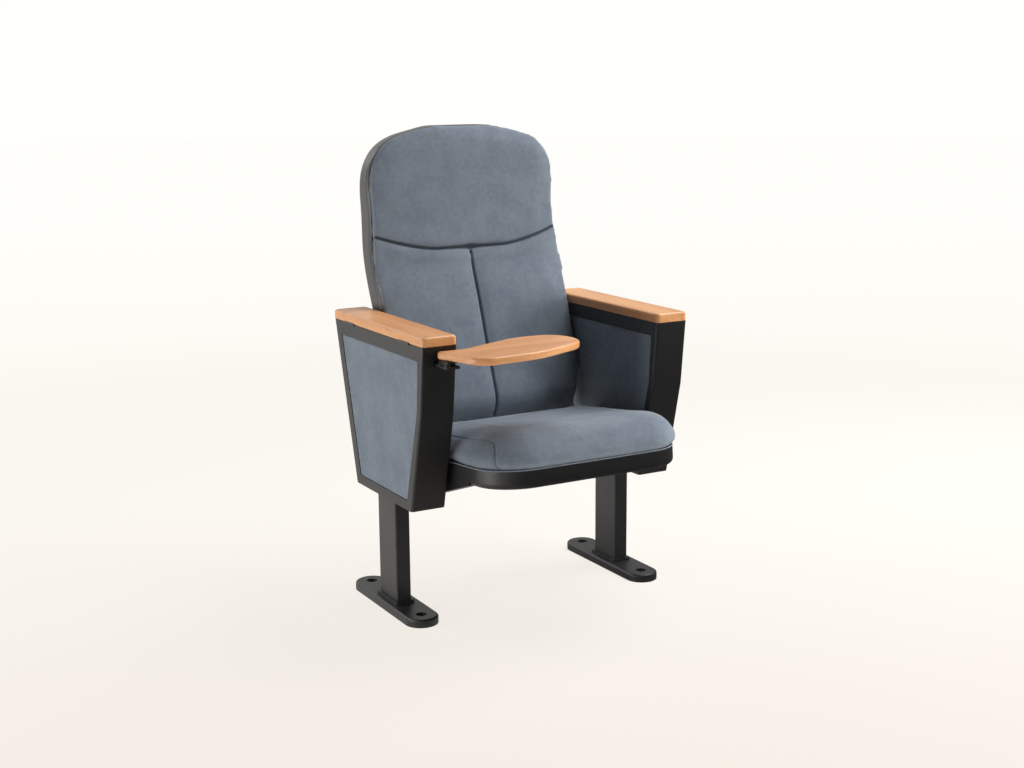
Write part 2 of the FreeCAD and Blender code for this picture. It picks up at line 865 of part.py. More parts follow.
def make_tablet_board():
    underside = number(s.tablet_underside_z)
    wire = rounded_wire(tablet_corners, lambda u, v: Vector(u, v, underside))
    board = Part.Face(wire).extrude(Vector(0, 0, number(s.tablet_thickness)))
    rims = [e for e in board.Edges if level(e, "Z", s.tablet_underside_z)]
    rims += [e for e in board.Edges if level(e, "Z", s.tablet_underside_z + s.tablet_thickness)]
    board = board.makeFillet(number(s.tablet_edge), rims)
    for x, y in tablet_screw_places:
        base = Vector(number(x), number(y), underside)
        radius = number(s.screw_radius + s.running_clearance)
        board = board.cut(Part.makeCylinder(radius, number(s.tablet_pilot_depth), base))
    solid_feature("tablet_board", board)


def make_tablet_leaf():
    leaf_low = s.tablet_underside_z - s.tablet_leaf_thickness
    clear = s.tablet_hinge_x + s.tablet_knuckle_radius + s.board_clearance
    far = s.tablet_hinge_x + s.tablet_leaf_reach
    front, rear = s.tablet_bracket_front_y, s.tablet_bracket_rear_y
    leaf = block(clear, far, front, rear, leaf_low, s.tablet_underside_z)
    span = (tablet_middle_low, tablet_middle_high)
    leaf = leaf.fuse(block(s.tablet_hinge_x, clear, *span, leaf_low, s.tablet_underside_z))
    leaf = leaf.fuse(hinge_cylinder(s.tablet_knuckle_radius, s.tablet_hinge_x, *span, s.tablet_hinge_z))
    bore_radius = s.tablet_pin_radius + s.running_clearance
    leaf = leaf.cut(hinge_cylinder(bore_radius, s.tablet_hinge_x, *span, s.tablet_hinge_z))
    for x, y in tablet_screw_places:
        base = Vector(number(x), number(y), number(leaf_low))
        radius = number(s.screw_radius + s.running_clearance)
        leaf = leaf.cut(Part.makeCylinder(radius, number(s.tablet_leaf_thickness), base))
    solid_feature("tablet_leaf", leaf.removeSplitter())


def make_tablet_bracket():
    low = bracket_top - s.tablet_bracket_thickness
    platform_rear = tablet_rear + s.tablet_platform_gap
    platform = block(
        bracket_left, bracket_right, s.tablet_bracket_front_y, platform_rear, low, bracket_top
    )
    tail_right = -standard_outer
    bracket = platform.fuse(
        block(bracket_left, tail_right, s.tablet_bracket_front_y, s.tablet_bracket_tail_y, low, bracket_top)
    )
    ends = (
        (s.tablet_bracket_front_y, s.tablet_bracket_front_y + s.tablet_knuckle_length),
        (s.tablet_bracket_rear_y - s.tablet_knuckle_length, s.tablet_bracket_rear_y),
    )
    radius = s.tablet_knuckle_radius
    for span in ends:
        bracket = bracket.fuse(block(bracket_left, bracket_left + radius * 2, *span, low, s.tablet_hinge_z))
        bracket = bracket.fuse(hinge_cylinder(radius, s.tablet_hinge_x, *span, s.tablet_hinge_z))
    bore_radius = s.tablet_pin_radius + s.fit_clearance
    span = (s.tablet_bracket_front_y, s.tablet_bracket_rear_y)
    bracket = bracket.cut(hinge_cylinder(bore_radius, s.tablet_hinge_x, *span, s.tablet_hinge_z))
    solid_feature("tablet_bracket", bracket.removeSplitter())


def make_tablet_fixings():
    length = s.tablet_bracket_rear_y - s.tablet_bracket_front_y
    pin = rod(
        "tablet_pin",
        s.tablet_pin_radius,
        length,
        s.tablet_hinge_x,
        s.tablet_bracket_front_y,
        s.tablet_hinge_z,
        "Y",
    )
    keep(pin, "tablet_pin")
    screws = []
    leaf_low = s.tablet_underside_z - s.tablet_leaf_thickness
    length = s.tablet_leaf_thickness + s.tablet_screw_bite
    for i, (x, y) in enumerate(tablet_screw_places):
        shank = rod(f"tablet_shank_{i}", s.screw_radius, length, x, y, leaf_low, "Z")
        screws.append(with_head(f"tablet_screw_{i}", shank, x, y, leaf_low, s.tablet_screw_head))
    group("tablet_screws", screws)


def cut_tablet_pocket(housing):
    # The slot in the right housing's top wall that takes the folded tablet, and the bracket's way out in front.
    low, high = -outer_board_near, -standard_outer
    slot = [rectangle(low, high, s.pocket_front_y, s.pocket_rear_y)]
    margin = s.through_clearance
    cut(housing, "pocket_slot", "XY", opening_top - margin, s.border_top + margin * 2, slot)
    notch = rectangle(
        bracket_left - margin,
        -standard_outer + margin,
        bracket_top - s.tablet_bracket_thickness - margin,
        bracket_top + s.tablet_knuckle_radius,
    )
    depth = s.border_front_top * 2 + margin
    cut(housing, "bracket_notch", "XZ", -(opening_front_top + s.border_front_top), depth, [notch])


# Seat pivot, stop and springs

def make_pivot(name, side):
    def span(near, far):
        return (near if side > 0 else -as_size(far)), as_size(far) - near

    start, length = span(pin_near, standard_outer)
    keep(rod(f"seat_pin_{name}", s.pin_radius, length, start, s.pivot_y, s.pivot_z), f"seat_pin_{name}")
    start, length = span(seat_arm_near - s.peg_overhang, standard_outer)
    keep(rod(f"stop_peg_{name}", s.peg_radius, length, start, peg_y, peg_z), f"stop_peg_{name}")
    side_slab(
        f"stop_sleeve_{name}",
        side,
        seat_arm_near - s.peg_overhang,
        seat_arm_far + s.peg_overhang,
        [circle(peg_y, peg_z, sleeve_radius), circle(peg_y, peg_z, s.peg_radius + s.fit_clearance)],
    )
    bush = side_slab(
        f"pivot_bush_{name}",
        side,
        seat_arm_far - s.bush_length,
        seat_arm_far,
        [circle(0, 0, bush_radius), circle(0, 0, s.pin_radius + s.running_clearance)],
    )
    place_on_seat(bush)
    spring_outer = pin_near - s.board_clearance
    spring = side_slab(
        f"return_spring_{name}",
        side,
        spring_outer - s.spring_length,
        spring_outer,
        [circle(0, 0, bush_radius - s.stop_gap), circle(0, 0, bush_radius - s.spring_wall)],
    )
    place_on_seat(spring)


def make_cross_tube():
    tube = prism(
        "cross_tube",
        "YZ",
        -seat_arm_near,
        seat_arm_near * 2,
        [circle(0, 0, tube_radius), circle(0, 0, tube_inner_radius)],
    )
    place_on_seat(tube)


def peg_sector(radial_margin, x_low, x_high):
    # The space that the stop peg sweeps as the seat tips up, in the seat's own level frame.
    reach = math.hypot(number(s.peg_offset_y), number(s.peg_offset_z))
    angle = math.degrees(math.atan2(number(s.peg_offset_z), number(s.peg_offset_y))) + number(s.seat_tilt)
    half_width = number(sleeve_radius) + radial_margin
    spare = math.degrees(math.asin(half_width / reach))
    sweep = number(s.seat_travel) + 2 * spare
    base = Vector(x_low, 0, 0)
    tools = []
    for radius in (reach + half_width, reach - half_width):
        cylinder = Part.makeCylinder(radius, x_high - x_low, Vector(0, 0, 0), Vector(0, 0, 1), sweep)
        cylinder.rotate(Vector(0, 0, 0), Vector(0, 0, 1), angle - spare)
        cylinder.rotate(Vector(0, 0, 0), Vector(1, 1, 1), 120)
        cylinder.translate(base)
        tools.append(cylinder)
    return tools[0].cut(tools[1])


# Seat, drawn level about its pivot: x across, y backwards, z up

def seat_corners(inset, draw_in=0):
    # Plan of the seat with its sides drawn in between the corners.
    half = number(seat_half_width) - inset
    front = -(number(s.seat_front) - inset)
    rear = number(s.seat_rear) - inset
    smallest = number(s.seat_least_corner)
    front_radius = max(number(s.seat_front_corner) - inset, smallest * 2)
    rear_radius = max(number(s.seat_rear_corner) - inset, smallest)
    waist = (front + rear) / 2
    pull = half - draw_in
    corners = [(half, rear, rear_radius), (pull, waist, half), (half, front, front_radius)]
    corners += [(-half, front, front_radius), (-pull, waist, half), (-half, rear, rear_radius)]
    if draw_in == 0:
        corners = [corners[0], corners[2], corners[3], corners[5]]
    return corners


def seat_wire(inset, height, draw_in=0, fall=0):
    # The fall is how much lower the section lies at the rear than at the front.
    front, length = -number(s.seat_front), number(s.seat_front + s.seat_rear)
    return rounded_wire(
        seat_corners(inset, draw_in), lambda u, v: Vector(u, v, height - fall * (v - front) / length)
    )


def seat_plate(inset, low, high):
    return Part.Face(seat_wire(inset, low)).extrude(Vector(0, 0, high - low))


def cheek(inset, x_low, x_high):
    # A side lug of the pan, round about the pivot and tapering forward to the pan's floor.
    radius = number(s.cheek_radius) - inset
    tip = -(number(s.cheek_tip) - inset * 2)
    floor = number(pan_floor) + inset
    top = number(board_underside)
    distance = math.hypot(tip, floor)
    turn = math.atan2(floor, tip) + math.acos(radius / distance)
    touch = Vector(x_low, radius * math.cos(turn), radius * math.sin(turn))
    middle = Vector(x_low, radius * math.cos(turn / 2), radius * math.sin(turn / 2))
    rear = Vector(x_low, radius, 0)
    edges = [
        line(Vector(x_low, tip, top), Vector(x_low, tip, floor)),
        line(Vector(x_low, tip, floor), touch),
        arc(touch, middle, rear),
        line(rear, Vector(x_low, radius, top)),
        line(Vector(x_low, radius, top), Vector(x_low, tip, top)),
    ]
    return Part.Face(Part.Wire(edges)).extrude(Vector(x_high - x_low, 0, 0))


def make_seat_pan():
    wall, through = number(s.pan_wall), number(s.through_clearance)
    floor, rim = number(pan_floor), number(s.parting_height)
    half = number(seat_half_width)
    tub = seat_plate(0, floor, rim)
    tub = tub.makeFillet(number(s.pan_rounding), [e for e in tub.Edges if level(e, "Z", floor)])
    hollow = seat_plate(wall, floor + wall, rim + through)
    inner_rounding = number(s.pan_rounding) - wall
    hollow = hollow.makeFillet(inner_rounding, [e for e in hollow.Edges if level(e, "Z", floor + wall)])
    pan = tub
    for sign in (1, -1):
        near, far = sign * (half - number(s.cheek_width)), sign * half
        outer = cheek(0, min(near, far), max(near, far))
        pan = pan.fuse(outer)
        near, far = near + sign * wall, far - sign * wall
        hollow = hollow.fuse(cheek(wall, min(near, far), max(near, far)))
    # a trough under the cross tube
    channel = number(tube_radius) + number(s.board_clearance)
    for radius, reach, is_outer in ((channel + wall, half - wall, True), (channel, half - wall * 2, False)):
        trough = Part.makeCylinder(radius, 2 * reach, Vector(-reach, 0, 0), Vector(1, 0, 0))
        trough = trough.common(block(-reach, reach, -radius, radius, -radius, floor + wall))
        if is_outer:
            pan = pan.fuse(trough)
        else:
            hollow = hollow.fuse(trough)
    pan = pan.cut(hollow)
    for x, y in pan_screw_places:
        base = Vector(number(x), number(y), floor)
        post = Part.makeCylinder(number(s.boss_radius), number(board_underside) - floor, base)
        pan = pan.fuse(post)
        pan = pan.cut(Part.makeCylinder(number(s.screw_radius + s.running_clearance), rim - floor, base))
    pin_hole = number(s.pin_radius) + through
    pan = pan.cut(Part.makeCylinder(pin_hole, half * 2, Vector(-half, 0, 0), Vector(1, 0, 0)))
    for sign in (1, -1):
        near, far = sign * (half - wall - through), sign * (half + through)
        pan = pan.cut(peg_sector(number(s.board_clearance), min(near, far), max(near, far)))
    place_on_seat(solid_feature("seat_pan", pan.removeSplitter()))


pan_screw_places = [
    (sign * (seat_half_width - s.pan_screw_inset), y)
    for sign in (1, -1)
    for y in (s.pan_screw_rear_y, s.pan_screw_front_y)
]
arm_screw_places = [
    (sign * (seat_arm_near - s.seat_arm_flange / 2), -s.arm_screw_first - s.arm_screw_pitch * step)
    for sign in (1, -1)
    for step in (0, 1, 2)
]


def make_seat_board():
    inset = s.pan_wall + s.board_clearance
    half = seat_half_width - inset
    rear, front = s.seat_rear - inset, inset - s.seat_front
    board = prism(
        "seat_board",
        "XY",
        board_underside,
        s.seat_board_thickness,
        [rectangle(-half, half, front, rear)],
    )
    for label, limit, radius in (
        ("front", front, s.seat_front_corner - s.pan_wall),
        ("rear", rear, s.seat_rear_corner - s.pan_wall),
    ):

        def corner(edge, limit=limit):
            return along(edge, Vector(0, 0, 1)) and abs(edge.BoundBox.Center.y - number(limit)) < edge_tolerance

        round_edges(board, f"seat_board_{label}", corner, radius)
    holes = [circle(x, y, s.screw_radius + s.fit_clearance) for x, y in pan_screw_places + arm_screw_places]
    cut(board, "seat_board_holes", "XY", board_underside, s.seat_pilot_depth, holes)
    place_on_seat(board)


def make_seat_arm(name, side):
    near, far = sorted((side * number(seat_arm_near), side * number(seat_arm_far)))
    top = number(board_underside)
    hub_radius = number(s.seat_arm_hub_radius)
    hub = Part.makeCylinder(hub_radius, far - near, Vector(near, 0, 0), Vector(1, 0, 0))
    hub = hub.common(block(near, far, -hub_radius, hub_radius, -hub_radius, top))
    length, height = number(s.seat_arm_length), number(s.seat_arm_height)
    plate = hub.fuse(block(near, far, -length, 0, top - height, top))
    thickness = number(s.seat_arm_thickness)
    inner = side * (number(seat_arm_near) - number(s.seat_arm_flange))
    flange_low, flange_high = sorted((inner, side * number(seat_arm_near)))
    flange_rear = -number(tube_radius + s.through_clearance)
    flange = block(flange_low, flange_high, -length, flange_rear, top - thickness, top)
    plate = plate.fuse(flange)
    bore = number(bush_radius + s.fit_clearance)
    plate = plate.cut(Part.makeCylinder(bore, far - near, Vector(near, 0, 0), Vector(1, 0, 0)))
    through = number(s.through_clearance)
    plate = plate.cut(peg_sector(number(s.stop_gap), near - through, far + through))
    for x, y in arm_screw_places:
        base = Vector(number(x), number(y), top - thickness)
        plate = plate.cut(Part.makeCylinder(number(s.screw_radius + s.fit_clearance), thickness, base))
    place_on_seat(solid_feature(f"seat_arm_{name}", plate.removeSplitter()))


def make_seat_screws():
    for label, places, low, grip in (
        ("arm_screws", arm_screw_places, board_underside - s.seat_arm_thickness, s.seat_arm_thickness),
        ("pan_screws", pan_screw_places, pan_floor, board_underside - pan_floor),
    ):
        screws = []
        for i, (x, y) in enumerate(places):
            length = grip + s.seat_screw_bite
            shank = rod(f"{label}_shank_{i}", s.screw_radius, length, x, y, low, "Z")
            screws.append(with_head(f"{label}_{i}", shank, x, y, low, s.screw_head_radius))
        place_on_seat(group(label, screws))


def make_seat_cushion():
    # Crowned pad: its sides swell over the pan's edge and are drawn in between the corners.
    base = number(s.parting_height) + number(s.fit_clearance)
    depth = number(s.cushion_thickness)
    swell = number(s.cushion_swell)
    # height, crown and swell, each as a share of the thickness, the thickness and the swell
    profile = (
        (0, 0.04, 0),
        (0.14, 0, 0.5),
        (0.36, 0, 1),
        (0.58, 0, 0),
        (0.74, 0.1, 0),
        (0.86, 0.25, 0),
        (0.94, 0.46, 0),
        (0.985, 0.785, 0),
        (1, number(s.cushion_crown), 0),
    )
    draw_in = number(s.side_draw_in)
    fall = depth * number(s.cushion_fall)
    wires = [
        seat_wire(depth * crown - swell * bulge, base + depth * share, draw_in, fall * share)
        for share, crown, bulge in profile
    ]
    place_on_seat(solid_feature("seat_cushion", Part.makeLoft(wires, True, False)))


# Back, lofted through level sections

# height, front, depth and the gap to the arm's pad
back_stations = (
    (s.back_hem_z, s.front_hem_y, s.depth_hem, s.side_gap_hem),
    (lumbar_z, s.front_lumbar_y, s.depth_lumbar, s.side_gap_lumbar),
    (waist_z, s.front_waist_y, s.depth_waist, s.side_gap_waist),
    (middle_z, s.front_middle_y, s.depth_middle, s.side_gap_middle),
    (seam_z, s.front_seam_y, s.depth_seam, s.side_gap_seam),
    (nape_z, s.front_nape_y, s.depth_nape, s.side_gap_nape),
    (head_z, s.front_head_y, s.depth_head, s.side_gap_head),
)
# how the outline closes over the head: share of the height above the head station, share of its half
# width, and the shares of the front's and the rear's roll towards each other
back_closing = (
    (0.46, 0.89, 0.1, 0.1),
    (0.75, 0.715, 0.33, 0.3),
    (0.92, 0.48, 0.67, 0.6),
    (1, 0.2, 1, 1),
)


def back_levels():
    # height, front, rear and half width of each section
    levels = [
        (number(z), number(front), number(front + depth), number(inner_pad_near - gap))
        for z, front, depth, gap in back_stations
    ]
    base, front, rear, half = levels[-1]
    rise = number(s.rise_to_top)
    front_roll, rear_roll = number(s.back_roll_front), number(s.back_roll_rear)
    for share, width, ahead, behind in back_closing:
        closed_front, closed_rear = front + front_roll * ahead, rear - rear_roll * behind
        levels.append((base + rise * share, closed_front, closed_rear, half * width))
    return levels


def back_section(z, front, rear, half, crown, corner):
    # Front arc, two sides and a rear arc, with the corners cut round.
    corner = min(corner, (rear - front - crown) / 3, half / 3)
    inner = half - corner
    slope = crown * (inner / half) ** 2
    points = [
        (-inner, front + slope),
        (0, front),
        (inner, front + slope),
        (half, front + crown + corner * 0.9),
        (half, rear - corner),
        (inner, rear),
        (-inner, rear),
        (-half, rear - corner),
        (-half, front + crown + corner * 0.9),
    ]
    p = [Vector(x, y, z) for x, y in points]
    bulge = corner * 0.3

    def soft(first, last, sign_x, sign_y):
        middle = (first + last) * 0.5 + Vector(sign_x * bulge, sign_y * bulge, 0)
        return arc(first, middle, last)

    edges = [
        arc(p[0], p[1], p[2]),
        soft(p[2], p[3], 0.5, -0.5),
        line(p[3], p[4]),
        soft(p[4], p[5], 0.6, 0.6),
        line(p[5], p[6]),
        soft(p[6], p[7], -0.6, 0.6),
        line(p[7], p[8]),
        soft(p[8], p[0], -0.5, -0.5),
    ]
    return Part.Wire(edges)


def back_loft(front_shift, find_rear, inset, crown, corner, lift=0):
    # find_rear(front, rear) gives the loft's rear. lift pulls its hem up and its top down.
    hem, head, top = number(s.back_hem_z), number(head_z), number(back_top_z)
    wires = []
    for z, front, rear, half in back_levels():
        level_z = z + lift if z == hem else z - lift * max(0, z - head) / (top - head)
        wires.append(
            back_section(level_z, front + front_shift, find_rear(front, rear), half - inset, crown, corner)
        )
    return Part.makeLoft(wires, True, False)


def make_back_cushion():
    crown, margin = number(s.back_crown), number(s.board_clearance)
    rim, thickness = number(s.back_rim_inset), number(s.back_cushion_thickness)
    face = back_loft(0, lambda front, rear: front + rim, margin, crown, number(s.back_face_corner))
    inset = number(s.back_wall) + margin
    core = back_loft(
        rim - number(s.back_core_overlap),
        lambda front, rear: front + thickness,
        inset,
        number(s.back_flat_crown),
        number(s.back_core_corner),
        inset,
    )
    cushion = face.fuse(core)
    groove = number(s.seam_groove)
    level_z, seam_y = number(seam_z), number(s.front_seam_y)
    half, rise = number(inner_pad_near - s.side_gap_seam), number(s.seam_rise)
    lean = (number(s.front_nape_y) - seam_y) / number(s.rise_to_nape)
    edge_y = seam_y + crown + rise * lean
    depth = groove - number(s.seam_depth)
    left = Vector(-half, edge_y - depth, level_z + rise)
    right = Vector(half, edge_y - depth, level_z + rise)
    across = arc(left, Vector(0, seam_y - depth, level_z), right)
    ring = Part.Wire([Part.makeCircle(groove, left, across.tangentAt(across.FirstParameter))])
    cushion = cushion.cut(Part.Wire([across]).makePipeShell([ring], True, False))
    # the middle seam runs down from the level seam to the hem
    levels = [item for item in back_levels() if item[0] <= level_z]
    width = number(s.middle_seam_width)
    front_line = [Vector(-width / 2, front + number(s.seam_depth), z) for z, front, rear, half in levels]
    curve = Part.BSplineCurve()
    curve.interpolate(front_line)
    low, high = front_line[0], front_line[-1]
    ahead = low.y - thickness * 2
    bottom, top = Vector(-width / 2, ahead, low.z), Vector(-width / 2, ahead, high.z)
    outline = Part.Wire([curve.toShape(), line(high, top), line(top, bottom), line(bottom, low)])
    cushion = cushion.cut(Part.Face(outline).extrude(Vector(width, 0, 0)))
    solid_feature("back_cushion", cushion.removeSplitter())


def make_back_board():
    thickness, board = number(s.back_cushion_thickness), number(s.back_board_thickness)
    margin = number(s.back_wall + s.through_clearance)
    shape = back_loft(
        thickness + number(s.stop_gap),
        lambda front, rear: front + thickness + board,
        margin,
        number(s.back_flat_crown),
        number(s.back_board_corner),
        margin,
    )
    solid_feature("back_board", shape)


def make_back_shell():
    wall, rim, crown = number(s.back_wall), number(s.back_rim_inset), number(s.back_flat_crown)
    corner, mouth = number(s.back_shell_corner), number(s.back_shell_mouth)
    outer = back_loft(rim + number(s.stop_gap), lambda front, rear: rear, 0, crown, corner)
    inner = back_loft(rim - mouth, lambda front, rear: rear - wall, wall, crown, corner - wall, wall)
    shell = outer.cut(inner)
    radius = number(s.back_bolt_radius + s.fit_clearance)
    reach = number(standard_inner)
    for y, z in back_bolts:
        base = Vector(-reach, number(y), number(z))
        shell = shell.cut(Part.makeCylinder(radius, 2 * reach, base, Vector(1, 0, 0)))
    solid_feature("back_shell", shell)


def make_back_fixings(name, side):
    near, far = back_bracket_near, half_lumbar - s.back_wall
    margin = s.bracket_margin
    (low_y, low_z), (high_y, high_z) = back_bolts
    end = s.bracket_end
    lean = (high_y - low_y) / (high_z - low_z) * end
    outline = [
        (low_y - lean - margin, low_z - end),
        (low_y - lean + margin, low_z - end),
        (high_y + lean + margin, high_z + end),
        (high_y + lean - margin, high_z + end),
    ]
    holes = [circle(y, z, s.back_bolt_radius + s.fit_clearance) for y, z in back_bolts]
    side_slab(f"back_bracket_{name}", side, near, far, [outline] + holes)
    bolts, spacers = [], []
    nut = s.bolt_head_height
    for i, (y, z) in enumerate(back_bolts):
        pieces = []
        for tag, radius, low, high in (
            ("shank", s.back_bolt_radius, near - nut, standard_outer + nut),
            ("head", s.bolt_head_radius, standard_outer, standard_outer + nut),
            ("nut", s.bolt_head_radius, near - nut, near),
        ):
            start = low if side > 0 else -high
            pieces.append(rod(f"{tag}_{name}_{i}", radius, high - low, start, y, z))
        bolts.append(fuse(f"back_bolt_{name}_{i}", pieces))
        start = spacer_near if side > 0 else -standard_inner
        length = standard_inner - spacer_near
        tube = rod(f"spacer_tube_{name}_{i}", s.spacer_radius, length, start, y, z)
        bore = rod(f"spacer_bore_{name}_{i}", s.back_bolt_radius + s.fit_clearance, length, start, y, z)
        spacer = doc.addObject("Part::Cut", f"back_spacer_{name}_{i}")
        spacer.Base, spacer.Tool = tube, bore
        spacers.append(spacer)
    group(f"back_bolts_{name}", bolts)
    group(f"back_spacers_{name}", spacers)


# Assembly

def make_all():
    housings, caps = {}, {}
    for name, side in sides:
        make_foot(name, side)
        make_leg(name, side)
        make_standard(name, side)
        housings[name] = make_housing(name, side)
        make_panels(name, side)
        start = s.arm_top_z if side > 0 else s.arm_top_z + s.lid_gap
        caps[name] = make_armrest(name, side, start)
        make_pivot(name, side)
        make_seat_arm(name, side)
        make_back_fixings(name, side)
    make_cap_screws(housings["left"], caps["left"])
    make_lid_hinge()
    leaf, lid_low = s.lid_leaf_thickness, s.arm_top_z + s.lid_gap
    cut_lid_hinge(housings["right"], "housing_hinge", s.arm_top_z - leaf, s.arm_top_z + s.lid_gap)
    cut_lid_hinge(caps["right"], "lid_hinge", s.arm_top_z, lid_low + leaf)
    cut_tablet_pocket(housings["right"])
    make_tablet_board()
    make_tablet_leaf()
    make_tablet_bracket()
    make_tablet_fixings()
    make_cross_tube()
    make_seat_pan()
    make_seat_board()
    make_seat_screws()
    make_seat_cushion()
    make_back_shell()
    make_back_board()
    make_back_cushion()


def check_and_write():
    doc.recompute()
    for item in doc.Objects:
        if "Invalid" in item.State or "Error" in item.State:
            raise RuntimeError(f"{item.Label} failed: {item.State}")
    os.makedirs("parts", exist_ok=True)
    for node in nodes:
        shape = node.Shape
        if shape.isNull() or not shape.isValid() or not shape.Solids:
            raise RuntimeError(f"{node.Label} has no valid solid")
        shape.exportStep(f"parts/{node.Label}.step")
        print(f"{node.Label}: {len(shape.Solids)} solid, {shape.Volume / 1000:.1f} cm3")


make_all()
check_and_write()
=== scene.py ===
# Tip-up auditorium seat with a fold-away writing tablet: cloth, wood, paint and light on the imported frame
import math

import bmesh
import bpy
import numpy as np
from mathutils import Matrix, Vector
from mathutils.bvhtree import BVHTree
from mathutils.kdtree import KDTree


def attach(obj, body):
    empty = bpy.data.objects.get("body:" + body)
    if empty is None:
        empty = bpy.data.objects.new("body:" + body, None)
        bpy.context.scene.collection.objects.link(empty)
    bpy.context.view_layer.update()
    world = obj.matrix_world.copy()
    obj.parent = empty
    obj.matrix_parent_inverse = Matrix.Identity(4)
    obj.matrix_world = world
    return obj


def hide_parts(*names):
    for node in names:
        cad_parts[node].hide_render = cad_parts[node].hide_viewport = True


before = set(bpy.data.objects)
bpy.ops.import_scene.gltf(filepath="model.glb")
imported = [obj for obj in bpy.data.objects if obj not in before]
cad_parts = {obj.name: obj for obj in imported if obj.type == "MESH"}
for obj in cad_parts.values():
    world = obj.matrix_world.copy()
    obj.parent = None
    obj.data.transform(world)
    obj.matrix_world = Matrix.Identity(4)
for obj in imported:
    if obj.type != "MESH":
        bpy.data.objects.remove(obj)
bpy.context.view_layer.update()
print("frame loaded:", len(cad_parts), "nodes")


# Camera

camera = {
    "azimuth": -29.52,
    "elevation": 11.77,
    "roll": -0.43,
    "place": (-1.61636, -2.88252, 1.15832),
    "lens": 52.66,
    "sensor": 36,
    "clip": (0.1, 60),
}


def makeCamera():
    azimuth, elevation = math.radians(camera["azimuth"]), math.radians(camera["elevation"])
    back = Vector((
        math.sin(azimuth) * math.cos(elevation),
        -math.cos(azimuth) * math.cos(elevation),
        math.sin(elevation),
    ))
    right = (-back).cross(Vector((0, 0, 1))).normalized()
    up = back.cross(right)
    turn = Matrix((right, up, back)).transposed().to_4x4()
    data = bpy.data.cameras.new("camera")
    data.sensor_width, data.lens = camera["sensor"], camera["lens"]
    data.clip_start, data.clip_end = camera["clip"]
    made = bpy.data.objects.new("camera", data)
    bpy.context.scene.collection.objects.link(made)
    made.matrix_world = Matrix.Translation(camera["place"]) @ turn @ Matrix.Rotation(
        math.radians(camera["roll"]), 4, "Z"
    )
    bpy.context.scene.camera = made


makeCamera()


# Shader maths: sockets add, multiply and so on as numbers do

class Signal:
    def __init__(self, finish, socket):
        self.finish, self.socket = finish, socket

    def math(self, operation, *values):
        return self.finish.node("Math", {"operation": operation}, dict(enumerate(values)))

    def __add__(self, other):
        return self.math("ADD", self, other)

    def __radd__(self, other):
        return self.math("ADD", other, self)

    def __sub__(self, other):
        return self.math("SUBTRACT", self, other)

    def __rsub__(self, other):
        return self.math("SUBTRACT", other, self)

    def __mul__(self, other):
        return self.math("MULTIPLY", self, other)

    def __rmul__(self, other):
        return self.math("MULTIPLY", other, self)

    def within(self, low, high):
        # 0 below low, 1 above high, smooth between
        return self.finish.node(
            "MapRange", {"interpolation_type": "SMOOTHSTEP"}, {"Value": self, 1: low, 2: high}
        )


class Finish:
    # One material, or the world, built node by node.
    def __init__(self, name, tree=None):
        if tree is None:
            self.material = bpy.data.materials.new(name)
            self.material.use_nodes = True
            tree = self.material.node_tree
        self.tree = tree
        self.shader = tree.nodes.get("Principled BSDF")
        self.output = next(n for n in tree.nodes if n.type.startswith("OUTPUT"))

    def node(self, kind, settings=None, inputs=None, output=0):
        made = self.tree.nodes.new("ShaderNode" + kind)
        for key, value in (settings or {}).items():
            if key == "stops":
                self.setStops(made.color_ramp, value)
            else:
                setattr(made, key, value)
        for key, value in (inputs or {}).items():
            self.feed(made.inputs[key], value)
        return Signal(self, made.outputs[output])

    def feed(self, socket, value):
        if isinstance(value, Signal):
            self.tree.links.new(value.socket, socket)
        else:
            socket.default_value = value

    def setStops(self, ramp, stops):
        while len(ramp.elements) < len(stops):
            ramp.elements.new(0.5)
        for element, (place, colour) in zip(ramp.elements, stops):
            element.position, element.color = place, colour

    def set(self, **values):
        for name, value in values.items():
            self.feed(self.shader.inputs[name.replace("_", " ")], value)

    def where(self, scale=(1, 1, 1), turn=(0, 0, 0), shift=(0, 0, 0)):
        # Object coordinates, in metres, scaled and turned
        place = self.node("TexCoord", output=3)
        return self.node("Mapping", None, {0: place, 1: shift, 2: turn, 3: scale})

    def noise(self, place, scale, detail=2, roughness=0.5, distortion=0):
        return self.node(
            "TexNoise",
            None,
            {
                "Vector": place, "Scale": scale, "Detail": detail, "Roughness": roughness,
                "Distortion": distortion,
            },
        )

    def mix(self, share, first, second):
        # Two colours, by a share from 0 to 1
        return self.node("Mix", {"data_type": "RGBA"}, {0: share, 6: first, 7: second}, 2)

    def bump(self, height, strength, distance):
        return self.node("Bump", None, {"Height": height, "Strength": strength, "Distance": distance})


def linear(red, green, blue):
    # A colour as read off a screen, 0 to 255, made linear
    def one(value):
        value /= 255
        return value / 12.92 if value <= 0.04045 else ((value + 0.055) / 1.055) ** 2.4

    return (one(red), one(green), one(blue), 1)


# Finishes

cloth = {
    "base": (118, 128, 140),
    "light": (131, 141, 152),
    "dark": (104, 114, 127),
    # painted shade colour for seam channels, creases and the rim's tucked gap
    "seam": (52, 59, 68),
    # paler cloth for the welt cords: painted edge highlight
    "welt": (142, 151, 162),
    "thread": 1150,  # threads per metre
    "blotch": 16,
    "nap": 95,
    # how strongly the painted seam shade darkens the cloth
    "seamShadowShare": 0.85,
    "roughness": 0.92,
    "sheen": 0.18,
    "relief": 0.35,
}


